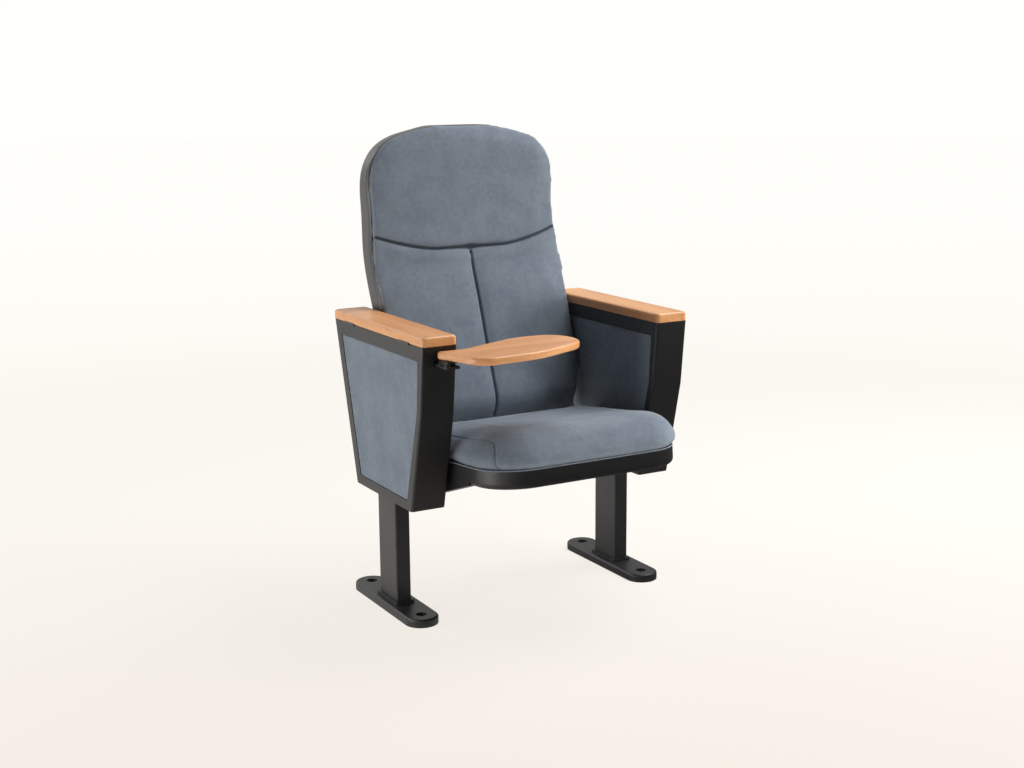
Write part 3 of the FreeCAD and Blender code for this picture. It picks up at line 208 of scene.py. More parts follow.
def clothFinish(name, welt=False):
    finish = Finish(name)
    place = finish.where()
    blotch = finish.noise(place, cloth["blotch"], 3, 0.55)
    nap = finish.noise(place, cloth["nap"], 4, 0.6)
    # threads both ways, as waves mirrored about the object's middle plane
    threads = {"Scale": cloth["thread"] / 6.28, "Distortion": 1.2, "Detail": 1}
    across, along = (
        finish.node(
            "TexWave", {"wave_type": "BANDS", "bands_direction": "DIAGONAL"},
            {"Vector": finish.where((way, 1, 1)), **threads}, 1,
        )
        for way in (1, -1)
    )
    weave = across.math("MAXIMUM", across, along)
    patches = (blotch * 0.55 + nap * 0.45).within(0.36, 0.64)
    colour = finish.mix(patches, linear(*cloth["dark"]), linear(*cloth["light"]))
    # the welt takes the paler colour: painted edge highlight along the cord
    colour = finish.mix(0.45, colour, linear(*(cloth["welt"] if welt else cloth["base"])))
    colour = finish.mix(weave * 0.16, colour, linear(*cloth["light"]))
    if not welt:
        # painted shade in seam channels, creases and the rim's tuck, where the seam attribute marks them
        seamShadowShare = finish.node("Attribute", {"attribute_name": "seam"}, output=2)
        colour = finish.mix(seamShadowShare * cloth["seamShadowShare"], colour, linear(*cloth["seam"]))
    height = weave * 0.5 + nap * 0.5
    finish.set(
        Base_Color=colour,
        Roughness=cloth["roughness"] - 0.1 * nap,
        Sheen_Weight=cloth["sheen"],
        Sheen_Roughness=0.45,
        Specular_IOR_Level=0.25,
        Normal=finish.bump(height, cloth["relief"], 0.0006),
    )
    return finish.material


wood = {
    "base": (226, 161, 106),
    "light": (236, 176, 120),
    "dark": (206, 138, 84),
    "pore": (160, 98, 54),
    "poreShare": 0.32,
    "roughness": 0.42,
    "coat": 0.25,
    "coatRoughness": 0.18,
}


def woodFinish(name, grain):
    # grain is the axis that the fibres run along
    finish = Finish(name)
    stretch = {"x": (1.6, 26, 26), "y": (26, 1.6, 26)}[grain]
    rings = {"x": (0.9, 9, 9), "y": (9, 0.9, 9)}[grain]
    fine = {"x": (16, 520, 520), "y": (520, 16, 520)}[grain]
    broad = finish.noise(finish.where(rings), 1.6, 3, 0.5, 0.6)
    streak = finish.noise(finish.where(stretch), 2.2, 5, 0.62, 0.3)
    pores = finish.noise(finish.where(fine), 1, 2, 0.5)
    figure = (broad * 0.6 + streak * 0.4).within(0.36, 0.64)
    colour = finish.mix(figure, linear(*wood["dark"]), linear(*wood["light"]))
    colour = finish.mix(0.35, colour, linear(*wood["base"]))
    dashes = pores.within(0.56, 0.68)
    colour = finish.mix(dashes * wood["poreShare"], colour, linear(*wood["pore"]))
    finish.set(
        Base_Color=colour,
        Roughness=wood["roughness"] + 0.1 * streak,
        Coat_Weight=wood["coat"],
        Coat_Roughness=wood["coatRoughness"],
        Specular_IOR_Level=0.5,
        Normal=finish.bump(dashes * -0.6 + streak * 0.2, 0.2, 0.0004),
    )
    return finish.material


plywood = {
    "light": (196, 160, 118),
    "dark": (150, 112, 76),
    "glue": (90, 62, 42),
    "plies": 90,
    "roughness": 0.7,
}


def plywoodFinish():
    finish = Finish("plywood")
    plies = finish.node(
        "TexWave", {"wave_type": "BANDS", "bands_direction": "Z"},
        {"Vector": finish.where(), "Scale": plywood["plies"], "Distortion": 0.4}, 1,
    )
    fibre = finish.noise(finish.where((40, 6, 200)), 2, 3)
    colour = finish.mix(fibre, linear(*plywood["dark"]), linear(*plywood["light"]))
    colour = finish.mix(plies.within(0.8, 0.95) * 0.5, colour, linear(*plywood["glue"]))
    finish.set(Base_Color=colour, Roughness=plywood["roughness"] + 0.1 * fibre)
    return finish.material


# the paler colour paints edge highlights and faint random haze
paint = {"base": (24, 24, 25), "edgeHighlightAndHaze": (44, 44, 45), "roughness": 0.44, "peel": 900}


def paintFinish():
    # Powder coat, with its faint orange peel, faint random haze, and edges painted paler as a highlight
    finish = Finish("blackPaint")
    place = finish.where()
    peel = finish.noise(place, paint["peel"], 2, 0.4)
    haze = finish.noise(place, 9, 3, 0.5)
    # painted highlight along sharp edges, found by pointiness
    edge = finish.node("NewGeometry", output=7).within(0.53, 0.62)
    colour = finish.mix(edge * 0.5 + haze * 0.08, linear(*paint["base"]), linear(*paint["edgeHighlightAndHaze"]))
    finish.set(
        Base_Color=colour,
        Roughness=paint["roughness"] + 0.12 * haze - 0.06,
        Normal=finish.bump(peel, 0.12, 0.0003),
    )
    return finish.material


# the paler colour paints edge highlights and faint random haze
plastic = {"base": (25, 25, 26), "edgeHighlightAndHaze": (42, 42, 43), "roughness": 0.46, "grain": 1500}


def plasticFinish(name, base, edgeHighlightAndHaze, roughness):
    # Moulded plastic with a fine spark-eroded grain, faint random haze, and edges painted paler as a
    # highlight
    finish = Finish(name)
    place = finish.where()
    grain = finish.node(
        "TexVoronoi", {"feature": "F1"}, {"Vector": place, "Scale": plastic["grain"], "Randomness": 1}
    )
    haze = finish.noise(place, 7, 3, 0.5)
    # painted highlight along sharp edges, found by pointiness
    edge = finish.node("NewGeometry", output=7).within(0.53, 0.62)
    colour = finish.mix(edge * 0.45 + haze * 0.1, linear(*base), linear(*edgeHighlightAndHaze))
    finish.set(
        Base_Color=colour,
        Roughness=roughness + 0.14 * haze - 0.07,
        Normal=finish.bump(grain, 0.1, 0.0003),
    )
    return finish.material


# the paler colour paints edge highlights and faint random haze
shell = {"base": (62, 62, 63), "edgeHighlightAndHaze": (84, 84, 85), "roughness": 0.42}
zinc = {"light": (196, 198, 200), "dark": (150, 153, 157), "spangle": 380, "roughness": 0.34}


def zincFinish():
    finish = Finish("zinc")
    place = finish.where()
    spangle = finish.node("TexVoronoi", {"feature": "F1"}, {"Vector": place, "Scale": zinc["spangle"]}, 1)
    grey = finish.node("RGBToBW", None, {0: spangle})
    smear = finish.noise(finish.where((30, 400, 400)), 1, 3)
    colour = finish.mix(grey * 0.5 + smear * 0.4, linear(*zinc["dark"]), linear(*zinc["light"]))
    finish.set(Base_Color=colour, Metallic=1.0, Roughness=zinc["roughness"] + 0.15 * smear)
    return finish.material


rubber = {"base": (24, 24, 24), "dust": (52, 51, 50), "roughness": 0.75}


def rubberFinish():
    finish = Finish("rubber")
    dust = finish.noise(finish.where(), 140, 4, 0.6)
    colour = finish.mix(dust.within(0.5, 0.7) * 0.5, linear(*rubber["base"]), linear(*rubber["dust"]))
    finish.set(
        Base_Color=colour,
        Roughness=rubber["roughness"] + 0.15 * dust,
        Normal=finish.bump(dust, 0.2, 0.0004),
    )
    return finish.material


finishes = {
    "cloth": clothFinish("cloth"),
    "welt": clothFinish("weltClothHighlight", True),
    "armWood": woodFinish("armWood", "y"),
    "tabletWood": woodFinish("tabletWood", "x"),
    "plywood": plywoodFinish(),
    "paint": paintFinish(),
    "plastic": plasticFinish("moulding", plastic["base"], plastic["edgeHighlightAndHaze"], plastic["roughness"]),
    "shell": plasticFinish("backShell", shell["base"], shell["edgeHighlightAndHaze"], shell["roughness"]),
    "zinc": zincFinish(),
    "rubber": rubberFinish(),
}

nodeFinishes = {
    "paint": (
        "foot", "leg_tube", "standard", "seat_arm", "back_bracket", "tablet_bracket", "lid_leaf", "lid_pins",
        "tablet_leaf", "tablet_pin", "tablet_screws",
    ),
    "plastic": ("arm_housing", "leg_collar", "pivot_bush", "seat_pan"),
    "shell": ("back_shell",),
    "armWood": ("armrest",),
    "tabletWood": ("tablet_board",),
    "plywood": ("inner_board", "outer_board", "seat_board", "back_board"),
    "rubber": ("stop_sleeve",),
    "zinc": (
        "seat_pin", "stop_peg", "return_spring", "back_bolts", "back_spacers", "cap_screws", "cross_tube",
        "arm_screws", "pan_screws",
    ),
    "cloth": ("inner_pad", "outer_pad", "seat_cushion", "back_cushion"),
}


def dressNodes():
    for node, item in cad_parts.items():
        found = [key for key, starts in nodeFinishes.items() if node.startswith(starts)]
        item.data.materials.clear()
        item.data.materials.append(finishes[found[0]])
    print("finishes on the frame's nodes")


dressNodes()


# Padded pieces

hair = 0.00002  # metres within which two places count as one


def addPiece(name, mesh, finish):
    made = bpy.data.objects.new(name, mesh)
    bpy.context.scene.collection.objects.link(made)
    mesh.materials.clear()
    mesh.materials.append(finishes[finish])
    return made


def baked(piece):
    # The piece's mesh with its modifiers applied
    bpy.context.view_layer.update()
    graph = bpy.context.evaluated_depsgraph_get()
    mesh = bpy.data.meshes.new_from_object(piece.evaluated_get(graph))
    piece.modifiers.clear()
    old = piece.data
    piece.data = mesh
    bpy.data.meshes.remove(old)


def even(work, verts):
    bmesh.ops.smooth_vert(
        work, verts=verts, factor=0.5, use_axis_x=True, use_axis_y=True, use_axis_z=True
    )


def softCopy(node, name, voxel, inset):
    # A closed even mesh in the node's place, a little smaller, for the cloth to swell from
    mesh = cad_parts[node].data.copy()
    work = bmesh.new()
    work.from_mesh(mesh)
    bmesh.ops.remove_doubles(work, verts=work.verts, dist=hair)
    work.to_mesh(mesh)
    work.free()
    piece = addPiece(name, mesh, "cloth")
    remesh = piece.modifiers.new("remesh", "REMESH")
    remesh.mode, remesh.voxel_size, remesh.use_smooth_shade = "VOXEL", voxel, True
    baked(piece)
    work = bmesh.new()
    work.from_mesh(piece.data)
    even(work, work.verts)
    work.normal_update()
    for vert in work.verts:
        vert.co -= vert.normal * inset
    work.to_mesh(piece.data)
    work.free()
    return piece


def points(piece):
    found = np.empty(len(piece.data.vertices) * 3)
    piece.data.vertices.foreach_get("co", found)
    return found.reshape(-1, 3)


def setPoints(piece, found):
    piece.data.vertices.foreach_set("co", found.ravel())
    piece.data.update()


clothFrames = 20
clothSettings = {
    "quality": 5,
    "mass": 0.3,
    "tension_stiffness": 15,
    "compression_stiffness": 15,
    "bending_stiffness": 2,
    "use_pressure": True,
}


def blowUp(piece, held, pressure, cap, passes=12):
    # How far each point of the piece moves as cloth under pressure from inside. held marks where
    # it is glued down. The movement is evened out over the cloth, so that it keeps no wrinkles.
    rest = points(piece)
    group = piece.vertex_groups.new(name="held")
    group.add([int(index) for index in np.nonzero(held)[0]], 1, "REPLACE")
    swell = piece.modifiers.new("swell", "CLOTH")
    swell.settings.vertex_group_mass = "held"
    swell.settings.uniform_pressure_force = pressure
    swell.settings.effector_weights.gravity = 0
    for name, value in clothSettings.items():
        setattr(swell.settings, name, value)
    swell.point_cache.frame_start, swell.point_cache.frame_end = 1, clothFrames
    for step in range(1, clothFrames + 1):
        bpy.context.scene.frame_set(step)
    baked(piece)
    bpy.context.scene.frame_set(1)
    moved = points(piece) - rest
    edges = np.empty(len(piece.data.edges) * 2, dtype=np.int64)
    piece.data.edges.foreach_get("vertices", edges)
    first, last = edges.reshape(-1, 2).T
    count = np.bincount(edges, minlength=len(rest))[:, None]
    for step in range(passes):
        total = np.zeros_like(moved)
        np.add.at(total, first, moved[last])
        np.add.at(total, last, moved[first])
        moved = 0.5 * moved + 0.5 * total / np.maximum(count, 1)
    length = np.linalg.norm(moved, axis=1, keepdims=True)
    return rest, moved * np.minimum(1, cap / np.maximum(length, 1e-9))


def swellLike(piece, rest, moved, reach=6, least=0.002):
    # The coarse cloth's movement, passed to the fine piece from its nearest points, the nearer
    # the more. least keeps a point that lies on another from taking all of its movement.
    tree = KDTree(len(rest))
    for index, place in enumerate(rest):
        tree.insert(place, index)
    tree.balance()
    found = points(piece)
    for index, place in enumerate(found):
        near = tree.find_n(place, reach)
        shares = [1 / (distance + least) for _, _, distance in near]
        step = sum(share * moved[other] for share, (_, other, _) in zip(shares, near))
        found[index] += step / sum(shares)
    setPoints(piece, found)


def refine(piece):
    smooth = piece.modifiers.new("smooth", "SUBSURF")
    smooth.levels = smooth.render_levels = 1
    baked(piece)
    for face in piece.data.polygons:
        face.use_smooth = True


def normalsOf(piece):
    found = np.empty(len(piece.data.vertices) * 3)
    piece.data.vertices.foreach_get("normal", found)
    return found.reshape(-1, 3)


def onSurface(piece, path, gap=0.004):
    # The path laid on the piece's surface, with points a gap apart
    tree = BVHTree.FromObject(piece, bpy.context.evaluated_depsgraph_get())
    fine = []
    for first, last in zip(path, path[1:]):
        first, last = Vector(first), Vector(last)
        count = max(1, round((last - first).length / gap))
        fine += [first.lerp(last, step / count) for step in range(count)]
    fine.append(Vector(path[-1]))
    return [tree.find_nearest(point)[0] for point in fine]


def castOn(piece, path, way):
    # The path thrown on to the piece along one direction
    tree = BVHTree.FromObject(piece, bpy.context.evaluated_depsgraph_get())
    way = Vector(way).normalized()
    hits = [tree.ray_cast(Vector(point) - way, way)[0] for point in path]
    return [hit for hit in hits if hit]


def soften(piece, chosen, passes):
    # Smooths the chosen points alone
    work = bmesh.new()
    work.from_mesh(piece.data)
    verts = [vert for vert, on in zip(work.verts, chosen) if on]
    for step in range(passes):
        even(work, verts)
    work.to_mesh(piece.data)
    work.free()


def distanceTo(found, path):
    # From every point to the nearest stretch of the path
    near = np.full(len(found), 1e9)
    for first, last in zip(path, path[1:]):
        start, run = np.array(first), np.array(last) - np.array(first)
        share = np.clip((found - start) @ run / max(run @ run, 1e-12), 0, 1)
        near = np.minimum(near, np.linalg.norm(found - start - share[:, None] * run, axis=1))
    return near


def divideNear(piece, path, reach):
    # Finer faces along a seam, so that its channel is crisp
    found = points(piece)
    close = distanceTo(found, path) < reach
    work = bmesh.new()
    work.from_mesh(piece.data)
    work.verts.ensure_lookup_table()
    edges = [edge for edge in work.edges if close[edge.verts[0].index] and close[edge.verts[1].index]]
    bmesh.ops.subdivide_edges(work, edges=edges, cuts=1, use_grid_fill=True)
    bmesh.ops.triangulate(work, faces=[face for face in work.faces if len(face.verts) > 4])
    work.to_mesh(piece.data)
    work.free()
    for face in piece.data.polygons:
        face.use_smooth = True


def sew(piece, path, width, depth, pull=0.0, pullWidth=0.02, dark=1.0):
    # A channel pressed in along a path, in a wider soft valley, with painted shade in it through the seam
    # attribute, as strong as dark.
    found, normals = points(piece), normalsOf(piece)
    near = distanceTo(found, path)
    channel = np.exp(-((near / width) ** 2))
    valley = np.exp(-((near / pullWidth) ** 2))
    setPoints(piece, found - normals * (depth * channel + pull * valley)[:, None])
    seam = piece.data.attributes.get("seam") or piece.data.attributes.new("seam", "FLOAT", "POINT")
    before = np.empty(len(found))
    seam.data.foreach_get("value", before)
    seam.data.foreach_set("value", np.maximum(before, dark * np.exp(-((near / (width * 0.75)) ** 2))))


def makeWelt(name, path, radius, body, closed=False):
    # A sewn edge cord: a bevelled curve made a mesh, in paler cloth that paints the edge highlight
    curve = bpy.data.curves.new(name, "CURVE")
    curve.dimensions = "3D"
    curve.bevel_depth, curve.bevel_resolution, curve.use_fill_caps = radius, 2, True
    line = curve.splines.new("POLY")
    line.points.add(len(path) - 1)
    for place, point in zip(line.points, path):
        place.co = (*point, 1)
    line.use_cyclic_u = closed
    made = bpy.data.objects.new(name + "Line", curve)
    bpy.context.scene.collection.objects.link(made)
    bpy.context.view_layer.update()
    mesh = bpy.data.meshes.new_from_object(made.evaluated_get(bpy.context.evaluated_depsgraph_get()))
    bpy.data.objects.remove(made)
    for face in mesh.polygons:
        face.use_smooth = True
    piece = addPiece(name, mesh, "welt")
    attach(piece, body)
    return piece


# Seat cushion, on the tipping seat. Its own level frame has the pivot as origin.

seat = {
    "pivot": (0, -0.045, 0.318),
    "tilt": 5,
    "halfWidth": 0.235,
    "front": -0.339,
    "rear": 0.062,
    "frontCorner": 0.095,
    "rearCorner": 0.024,
    "parting": 0.0295,
    "voxel": 0.005,
    "clothVoxel": 0.008,
    "inset": 0.0015,
    "pressure": 3.5,
    "cap": 0.003,
    "belly": 0.006,
    "bellyRear": 0.001,  # how far it bellies out at the arms
    "bellyTop": 0.095,
    "bellyStart": -0.12,
    "widest": 0.2435,
    "welt": 0.0015,
    # dark is how much painted shade each seam or crease gets
    "sideCut": {"width": 0.002, "depth": 0.0016, "pull": 0.0006, "pullWidth": 0.008, "dark": 0.45},
    "creaseCut": {"width": 0.004, "depth": 0.0012, "pull": 0.0012, "pullWidth": 0.014, "dark": 0.25},
    # the side panel's seam: x as a share of the half width, y and z in the level frame
    "sideSeam": (
        (0.97, 0.03, 0.09), (0.97, -0.08, 0.097), (0.965, -0.166, 0.101), (0.955, -0.235, 0.106),
        (0.94, -0.275, 0.104), (0.925, -0.294, 0.093), (0.915, -0.299, 0.072), (0.905, -0.302, 0.048),
        (0.9, -0.304, 0.031),
    ),
    "crease": ((-0.21, -0.03, 0.1), (-0.15, -0.045, 0.1), (-0.08, -0.055, 0.1), (0.03, -0.035, 0.1)),
}


def fromSeat(x, y, z):
    # From the seat's level frame to the object's
    angle = math.radians(seat["tilt"])
    pivot = seat["pivot"]
    return Vector((
        x,
        pivot[1] + y * math.cos(angle) + z * math.sin(angle),
        pivot[2] - y * math.sin(angle) + z * math.cos(angle),
    ))


def toSeat(found):
    angle = math.radians(seat["tilt"])
    y, z = found[:, 1] - seat["pivot"][1], found[:, 2] - seat["pivot"][2]
    return np.column_stack((
        found[:, 0], y * math.cos(angle) - z * math.sin(angle), y * math.sin(angle) + z * math.cos(angle)
    ))


def seatOutline(out, height, steps=10):
    # Plan of the seat with its round corners, for the welt
    path = []
    for signX, y, radius, start in (
        (1, seat["rear"], seat["rearCorner"], 0), (-1, seat["rear"], seat["rearCorner"], 90),
        (-1, seat["front"], seat["frontCorner"], 180), (1, seat["front"], seat["frontCorner"], 270),
    ):
        inward = -1 if y > 0 else 1
        centre = (signX * (seat["halfWidth"] - radius), y + inward * radius)
        for step in range(steps + 1):
            angle, reach = math.radians(start + 90 * step / steps), radius + out
            path.append(fromSeat(
                centre[0] + reach * math.cos(angle), centre[1] + reach * math.sin(angle), height
            ))
    return path


def bulgeSeat(piece):
    # The cushion's lower half bellies out over the pan, but stays clear of the arms
    found, normals = points(piece), normalsOf(piece)
    level = toSeat(found)
    above = np.clip((level[:, 2] - seat["parting"]) / 0.014, 0, 1)
    below = np.clip((seat["bellyTop"] - level[:, 2]) / 0.05, 0, 1)
    ahead = np.clip((seat["bellyStart"] - level[:, 1]) / 0.1, 0, 1)
    amount = above * below * (seat["bellyRear"] + seat["belly"] * ahead)
    found[:, 0] += normals[:, 0] * amount
    found[:, 1] += normals[:, 1] * amount
    found[:, 0] = np.clip(found[:, 0], -seat["widest"], seat["widest"])
    setPoints(piece, found)


def makeSeatCushion():
    piece = softCopy("seat_cushion", "seatCushion", seat["voxel"], seat["inset"])
    coarse = softCopy("seat_cushion", "seatCloth", seat["clothVoxel"], seat["inset"])
    held = toSeat(points(coarse))[:, 2] < seat["parting"] + 0.006
    swellLike(piece, *blowUp(coarse, held, seat["pressure"], seat["cap"]))
    bpy.data.objects.remove(coarse)
    bulgeSeat(piece)
    refine(piece)
    crease = onSurface(piece, [fromSeat(*point) for point in seat["crease"]])
    sew(piece, crease, **seat["creaseCut"])
    for side in (-1, 1):
        path = [fromSeat(side * seat["halfWidth"] * share, y, z) for share, y, z in seat["sideSeam"]]
        path = onSurface(piece, path)
        divideNear(piece, path, 0.01)
        sew(piece, path, **seat["sideCut"])
    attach(piece, "seat")
    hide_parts("seat_cushion")
    makeWelt("seatWelt", seatOutline(-0.0006, seat["parting"] + 0.0016), seat["welt"], "seat", True)
    print("seat cushion")


makeSeatCushion()


# Back cushion

back = {
    # height, front and half width up the back
    "stations": ((0.378, 0.062, 0.221), (0.448, 0.047, 0.227), (0.56, 0.09, 0.2375), (0.65, 0.122, 0.241),
                 (0.763, 0.164, 0.241), (0.85, 0.179, 0.235), (0.956, 0.184, 0.23), (1.039, 0.196, 0.14)),
    "hem": 0.378,
    "head": 0.956,
    "crown": 0.85,
    "rim": 0.012,
    "seamHeight": 0.766,
    "seamRise": 0.034,
    "seamFlat": 0.085,  # half the flat middle of the seam, then the run over which it rises
    "seamRun": 0.15,
    "voxel": 0.0055,
    "clothVoxel": 0.009,
    "inset": 0.0015,
    "pressure": 3.5,
    "cap": 0.004,
    "proud": 0.0022,
    "proudTop": 0.0055,
    "overhang": 0.005,
    "hemDrop": 0.008,
    "welt": 0.0016,
    "acrossCut": {"width": 0.0036, "depth": 0.005, "pull": 0.001, "pullWidth": 0.014},
    "downCut": {"width": 0.0032, "depth": 0.005, "pull": 0.0035, "pullWidth": 0.018},
    "rimCut": {"width": 0.0032, "depth": 0.0024},
}


def stationAt(height, column):
    rows = back["stations"]
    return float(np.interp(height, [row[0] for row in rows], [row[column] for row in rows]))


def smile(x):
    # Height of the seam under the head panel: flat in the middle, rising to the sides
    share = np.clip((np.abs(x) - back["seamFlat"]) / back["seamRun"], 0, 1)
    return back["seamHeight"] + back["seamRise"] * share ** 1.5


def backRim(piece):
    # The rear edge of the cushion's face all round it, found on its surface: up one side,
    # over the head and down the other
    tree = BVHTree.FromObject(piece, bpy.context.evaluated_depsgraph_get())
    heights = np.linspace(back["hem"] + 0.006, back["crown"], 56)
    rays = [(-1, 0, height) for height in heights]
    rays += [(-math.cos(turn), math.sin(turn), back["crown"]) for turn in np.linspace(0, math.pi, 61)]
    rays += [(1, 0, height) for height in heights[::-1]]
    rim = []
    for sideways, upward, height in rays:
        way = Vector((sideways, 0, upward))
        edge = Vector((0, 0, height)) + way * 0.2
        for step in range(3):
            start = Vector((0, stationAt(edge.z, 1) + back["rim"] - 0.004, height)) + way * 0.4
            edge = tree.ray_cast(start, -way)[0] or edge
        inner = edge - way * 0.0016
        behind = tree.ray_cast(Vector((inner.x, 0.4, inner.z)), Vector((0, -1, 0)))[0]
        rim.append(Vector((edge.x, behind.y if behind else edge.y, edge.z)))
    return rim


def standProud(piece):
    # The face stands a little proud of the shell at its sides, and more over the head. Its lowest
    # edge drops over the shell's hem.
    found, normals = points(piece), normalsOf(piece)
    front = np.array([stationAt(height, 1) for height in found[:, 2]])
    face = np.clip((front + back["rim"] + 0.001 - found[:, 1]) / 0.003, 0, 1)
    high = np.clip((found[:, 2] - back["head"] + 0.03) / 0.06, 0, 1)
    amount = face * (back["proud"] + (back["proudTop"] - back["proud"]) * high)
    normals[:, 1] = np.minimum(normals[:, 1], 0) * 0.4
    found += normals * amount[:, None]
    found[:, 2] -= back["hemDrop"] * np.clip((back["hem"] + 0.026 - found[:, 2]) / 0.022, 0, 1)
    setPoints(piece, found)


def makeBackCushion():
    piece = softCopy("back_cushion", "backCushion", back["voxel"], back["inset"])
    coarse = softCopy("back_cushion", "backCloth", back["clothVoxel"], back["inset"])
    found = points(coarse)
    rear = np.array([stationAt(height, 1) for height in found[:, 2]]) + back["rim"]
    swellLike(piece, *blowUp(coarse, found[:, 1] > rear - 0.003, back["pressure"], back["cap"]))
    bpy.data.objects.remove(coarse)
    soften(piece, points(piece)[:, 2] > back["head"] + 0.055, 10)
    standProud(piece)
    found = points(piece)
    front = np.array([stationAt(height, 1) for height in found[:, 2]])
    soften(piece, (found[:, 1] > front + 0.004) & (found[:, 1] < front + back["rim"] + 0.002), 4)
    refine(piece)
    across = [(x, stationAt(float(smile(x)), 1), float(smile(x))) for x in np.linspace(-0.24, 0.24, 60)]
    across = castOn(piece, across, (0, 1, 0))
    down = [(0, stationAt(height, 1), height) for height in np.linspace(float(smile(0)) - 0.004, 0.385, 50)]
    down = castOn(piece, down, (0, 1, 0))
    divideNear(piece, across, 0.014)
    divideNear(piece, down, 0.01)
    found, normals = points(piece), normalsOf(piece)
    above = found[:, 2] - smile(found[:, 0])
    facing = np.clip(-normals[:, 1] * 1.6 - 0.3, 0, 1)
    lift = np.where(above > 0, 1 - np.exp(-above / 0.008), 0) * np.exp(-np.maximum(above, 0) / 0.09)
    roll = np.where(above < 0, np.exp(-((above + 0.02) / 0.014) ** 2), 0) * 0.4
    found -= np.array((0, 1, 0)) * (back["overhang"] * facing * (lift + roll))[:, None]
    setPoints(piece, found)
    # these two seams get full painted shade
    sew(piece, across, **back["acrossCut"])
    sew(piece, down, **back["downCut"])
    rim = backRim(piece)
    # painted shade in the tuck behind the rim's welt, standing in for a shadow gap
    sew(piece, rim, **back["rimCut"])
    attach(piece, "stand")
    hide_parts("back_cushion")
    makeWelt("backWelt", [edge - Vector((0, 0.0042, 0)) for edge in rim], back["welt"], "stand")
    print("back cushion")


makeBackCushion()


# Cloth panels on the arm boxes

panel = {
    # y and z of the opening's corners, in order round it
    "corners": ((-0.215, 0.59), (-0.208, 0.483), (-0.153, 0.284), (0.083, 0.284), (0.167, 0.59)),
    "gap": 0.0004,
    "round": 0.003,
    "spacing": 0.007,
    "least": 0.0008,
    "pressure": 2.0,
    "cap": 0.0022,
    "innerFace": 0.2465,
    "outerFace": 0.3235,
    "thickness": 0.006,
    "welt": 0.0012,
}


def panelSides():
    # Each side of the panel as its start and its outward direction, in the plane of y and z
    corners = [Vector(corner) for corner in panel["corners"]]
    middle = sum(corners, Vector((0, 0))) / len(corners)
    sides = []
    for first, last in zip(corners, corners[1:] + corners[:1]):
        run = (last - first).normalized()
        outward = Vector((run.y, -run.x))
        if outward.dot(first - middle) < 0:
            outward = -outward
        sides.append((first, outward))
    return sides


def mitre(place, inset, sides):
    # The step that moves a point of the inset outline out by one unit from the sides it lies on
    on = [out for start, out in sides if abs(out.dot(place - start) + inset) < hair]
    if len(on) < 2:
        return on[0] if on else Vector((0, 0))
    return (on[0] + on[1]) / (1 + on[0].dot(on[1]))


def makePad(node, name, sign, face, outward):
    sides = panelSides()
    corners = [Vector(corner) for corner in panel["corners"]]
    low = Vector((min(c.x for c in corners), min(c.y for c in corners)))
    high = Vector((max(c.x for c in corners), max(c.y for c in corners)))
    work = bmesh.new()
    size, middle = high - low, (low + high) / 2
    bmesh.ops.create_grid(
        work,
        x_segments=round(size.x / panel["spacing"]),
        y_segments=round(size.y / panel["spacing"]),
        size=0.5,
        matrix=Matrix.Translation((*middle, 0)) @ Matrix.Diagonal((*size, 1, 1)),
    )
    inset = panel["gap"] + panel["round"]
    for start, out in sides:
        bmesh.ops.bisect_plane(
            work,
            geom=work.verts[:] + work.edges[:] + work.faces[:],
            plane_co=(*(start - out * inset), 0),
            plane_no=(*out, 0),
            clear_outer=True,
        )
    bmesh.ops.remove_doubles(work, verts=work.verts, dist=panel["least"])
    flat = set(work.verts)
    edges = [edge for edge in work.edges if edge.is_boundary]
    # out and down round the rounded edge, then straight down the side
    turns = [math.radians(angle) for angle in (0, 30, 60, 90)]
    steps = [
        (
            panel["round"] * (math.sin(last) - math.sin(first)),
            panel["round"] * (math.cos(first) - math.cos(last)),
        )
        for first, last in zip(turns, turns[1:])
    ]
    for wider, deeper in steps + [(0, panel["thickness"] - panel["round"])]:
        made = bmesh.ops.extrude_edge_only(work, edges=edges)["geom"]
        edges = [item for item in made if isinstance(item, bmesh.types.BMEdge) and item.is_boundary]
        for vert in {vert for edge in edges for vert in edge.verts}:
            across = mitre(vert.co.xy, inset, sides) * wider
            vert.co += Vector((across.x, across.y, -deeper))
        inset -= wider
    bmesh.ops.triangle_fill(work, edges=edges, use_beauty=True)
    held = [vert not in flat for vert in work.verts]
    for vert in work.verts:
        vert.co = Vector((sign * (face + outward * vert.co.z), vert.co.x, vert.co.y))
    bmesh.ops.recalc_face_normals(work, faces=work.faces)
    mesh = bpy.data.meshes.new(name)
    work.to_mesh(mesh)
    work.free()
    piece = addPiece(name, mesh, "cloth")
    rest, moved = blowUp(piece, np.array(held), panel["pressure"], panel["cap"], 4)
    setPoints(piece, rest + moved)
    refine(piece)
    # the pads get no painted seam shade
    seam = piece.data.attributes.new("seam", "FLOAT", "POINT")
    seam.data.foreach_set("value", np.zeros(len(piece.data.vertices)))
    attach(piece, "stand")
    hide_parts(node)
    path = []
    for (start, out), (_, before) in zip(sides, sides[-1:] + sides[:-1]):
        corner = start - (out + before) / (1 + out.dot(before)) * (panel["gap"] + panel["welt"])
        path.append((sign * (face - outward * panel["welt"]), corner.x, corner.y))
    makeWelt(f"{name}Welt", path, panel["welt"], "stand", True)


for padSide, padSign in (("left", 1), ("right", -1)):
    makePad(f"inner_pad_{padSide}", f"innerPad{padSide.capitalize()}", padSign, panel["innerFace"], -1)
    makePad(f"outer_pad_{padSide}", f"outerPad{padSide.capitalize()}", padSign, panel["outerFace"], 1)
print("arm panels")


# Light and background

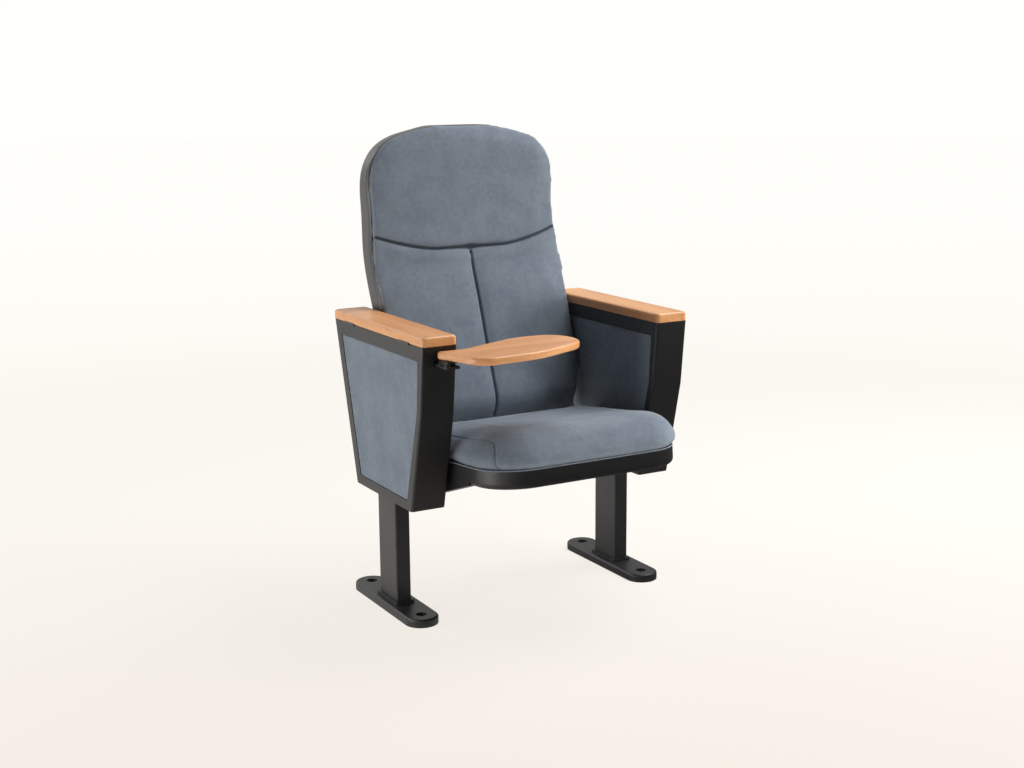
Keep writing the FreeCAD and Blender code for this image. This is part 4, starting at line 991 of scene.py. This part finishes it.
studio = {
    "floorRadius": 25,
    "top": (255, 254, 250),
    "middle": (253, 250, 243),
    "bottom": (246, 238, 230),
    "ambient": 0.03,
    "floorShadow": 0.13,
    # the bright side of the studio that gloss reflects, and how dark the other side is
    "brightSide": (-0.8, 0.6, 0),
    "darkSide": 0.12,
    "matt": ("front", "right"),  # lamps that black parts don't mirror
    # place, aim, width, height, watts
    "lamps": {
        "left": ((-2.7, 0, 0.42), (0, 0, 0.42), 1.2, 0.5, 29),
        "front": ((1.6, -2.4, 0.7), (0, 0, 0.5), 1, 1, 36),
        "right": ((2.8, -0.3, 1.2), (0, 0, 0.5), 1.2, 1.2, 30),
        "overhead": ((1.4, -0.1, 2.7), (0, 0, 0.5), 1.8, 1.8, 74),
        "rim": ((-1.6, 1.8, 2.2), (0, 0, 0.5), 1.2, 1.2, 22),
    },
}


def makeWorld():
    scene = bpy.context.scene
    scene.world = scene.world or bpy.data.worlds.new("studio")
    scene.world.use_nodes = True
    finish = Finish("studio", scene.world.node_tree)
    ground = finish.tree.nodes.get("Background")
    seen = finish.node("LightPath", output=0)
    glossy = finish.node("LightPath", output=3)
    through = finish.node("LightPath", output=6)
    way = finish.node("TexCoord", output=0)
    side = finish.node("VectorMath", {"operation": "DOT_PRODUCT"}, {0: way, 1: studio["brightSide"]}, 1)
    gloss = side.within(-0.3, 0.5) * (1 - studio["darkSide"]) + studio["darkSide"]
    shown = seen.math("MAXIMUM", seen, through)
    finish.feed(ground.inputs["Color"], linear(*studio["top"]))
    finish.feed(ground.inputs["Strength"], shown.math("MAXIMUM", shown, glossy * gloss) + studio["ambient"])


def makeFloor():
    work = bmesh.new()
    bmesh.ops.create_circle(work, cap_ends=True, segments=96, radius=studio["floorRadius"])
    mesh = bpy.data.meshes.new("floor")
    work.to_mesh(mesh)
    work.free()
    floor = bpy.data.objects.new("floor", mesh)
    bpy.context.scene.collection.objects.link(floor)
    finish = Finish("floor")
    # Paler with distance along the camera's heading, as a lit backdrop is
    azimuth = math.radians(camera["azimuth"])
    place = finish.node("TexCoord", output=3)
    heading = finish.node(
        "VectorMath", {"operation": "DOT_PRODUCT"},
        {0: place, 1: (-math.sin(azimuth), math.cos(azimuth), 0)}, 1,
    )
    near = heading.within(-1.6, 0.9)
    far = heading.within(0.5, 9)
    colour = finish.mix(near, linear(*studio["bottom"]), linear(*studio["middle"]))
    colour = finish.mix(far, colour, linear(*studio["top"]))
    seen = finish.node("LightPath", output=0)
    glossy = finish.node("LightPath", output=3)
    side = finish.node("VectorMath", {"operation": "DOT_PRODUCT"}, {0: place, 1: studio["brightSide"]}, 1)
    gloss = side.within(-0.5, 0.6) * (1 - studio["darkSide"]) + studio["darkSide"]
    glow = finish.node("Emission", None, {"Color": colour, "Strength": seen + glossy * gloss})
    matt = finish.node("BsdfDiffuse", None, {"Color": colour})
    away = finish.node("VectorMath", {"operation": "LENGTH"}, {0: place}, 1).within(1.2, 4)
    share = glossy + seen * (1 - studio["floorShadow"] * (1 - away))
    surface = finish.node("MixShader", None, {0: share, 1: matt, 2: glow})
    finish.tree.links.new(surface.socket, finish.output.inputs["Surface"])
    mesh.materials.append(finish.material)


def makeLamps():
    for name, (place, aim, width, height, watts) in studio["lamps"].items():
        data = bpy.data.lights.new(name, "AREA")
        data.shape, data.size, data.size_y = "RECTANGLE", width, height
        data.energy = watts
        lamp = bpy.data.objects.new(name, data)
        bpy.context.scene.collection.objects.link(lamp)
        lamp.location = place
        lamp.rotation_euler = (Vector(aim) - Vector(place)).to_track_quat("-Z", "Y").to_euler()
        lamp.visible_glossy = name not in studio["matt"]


makeWorld()
makeFloor()
makeLamps()
bpy.context.scene.view_settings.view_transform = "Standard"
print("light and floor")
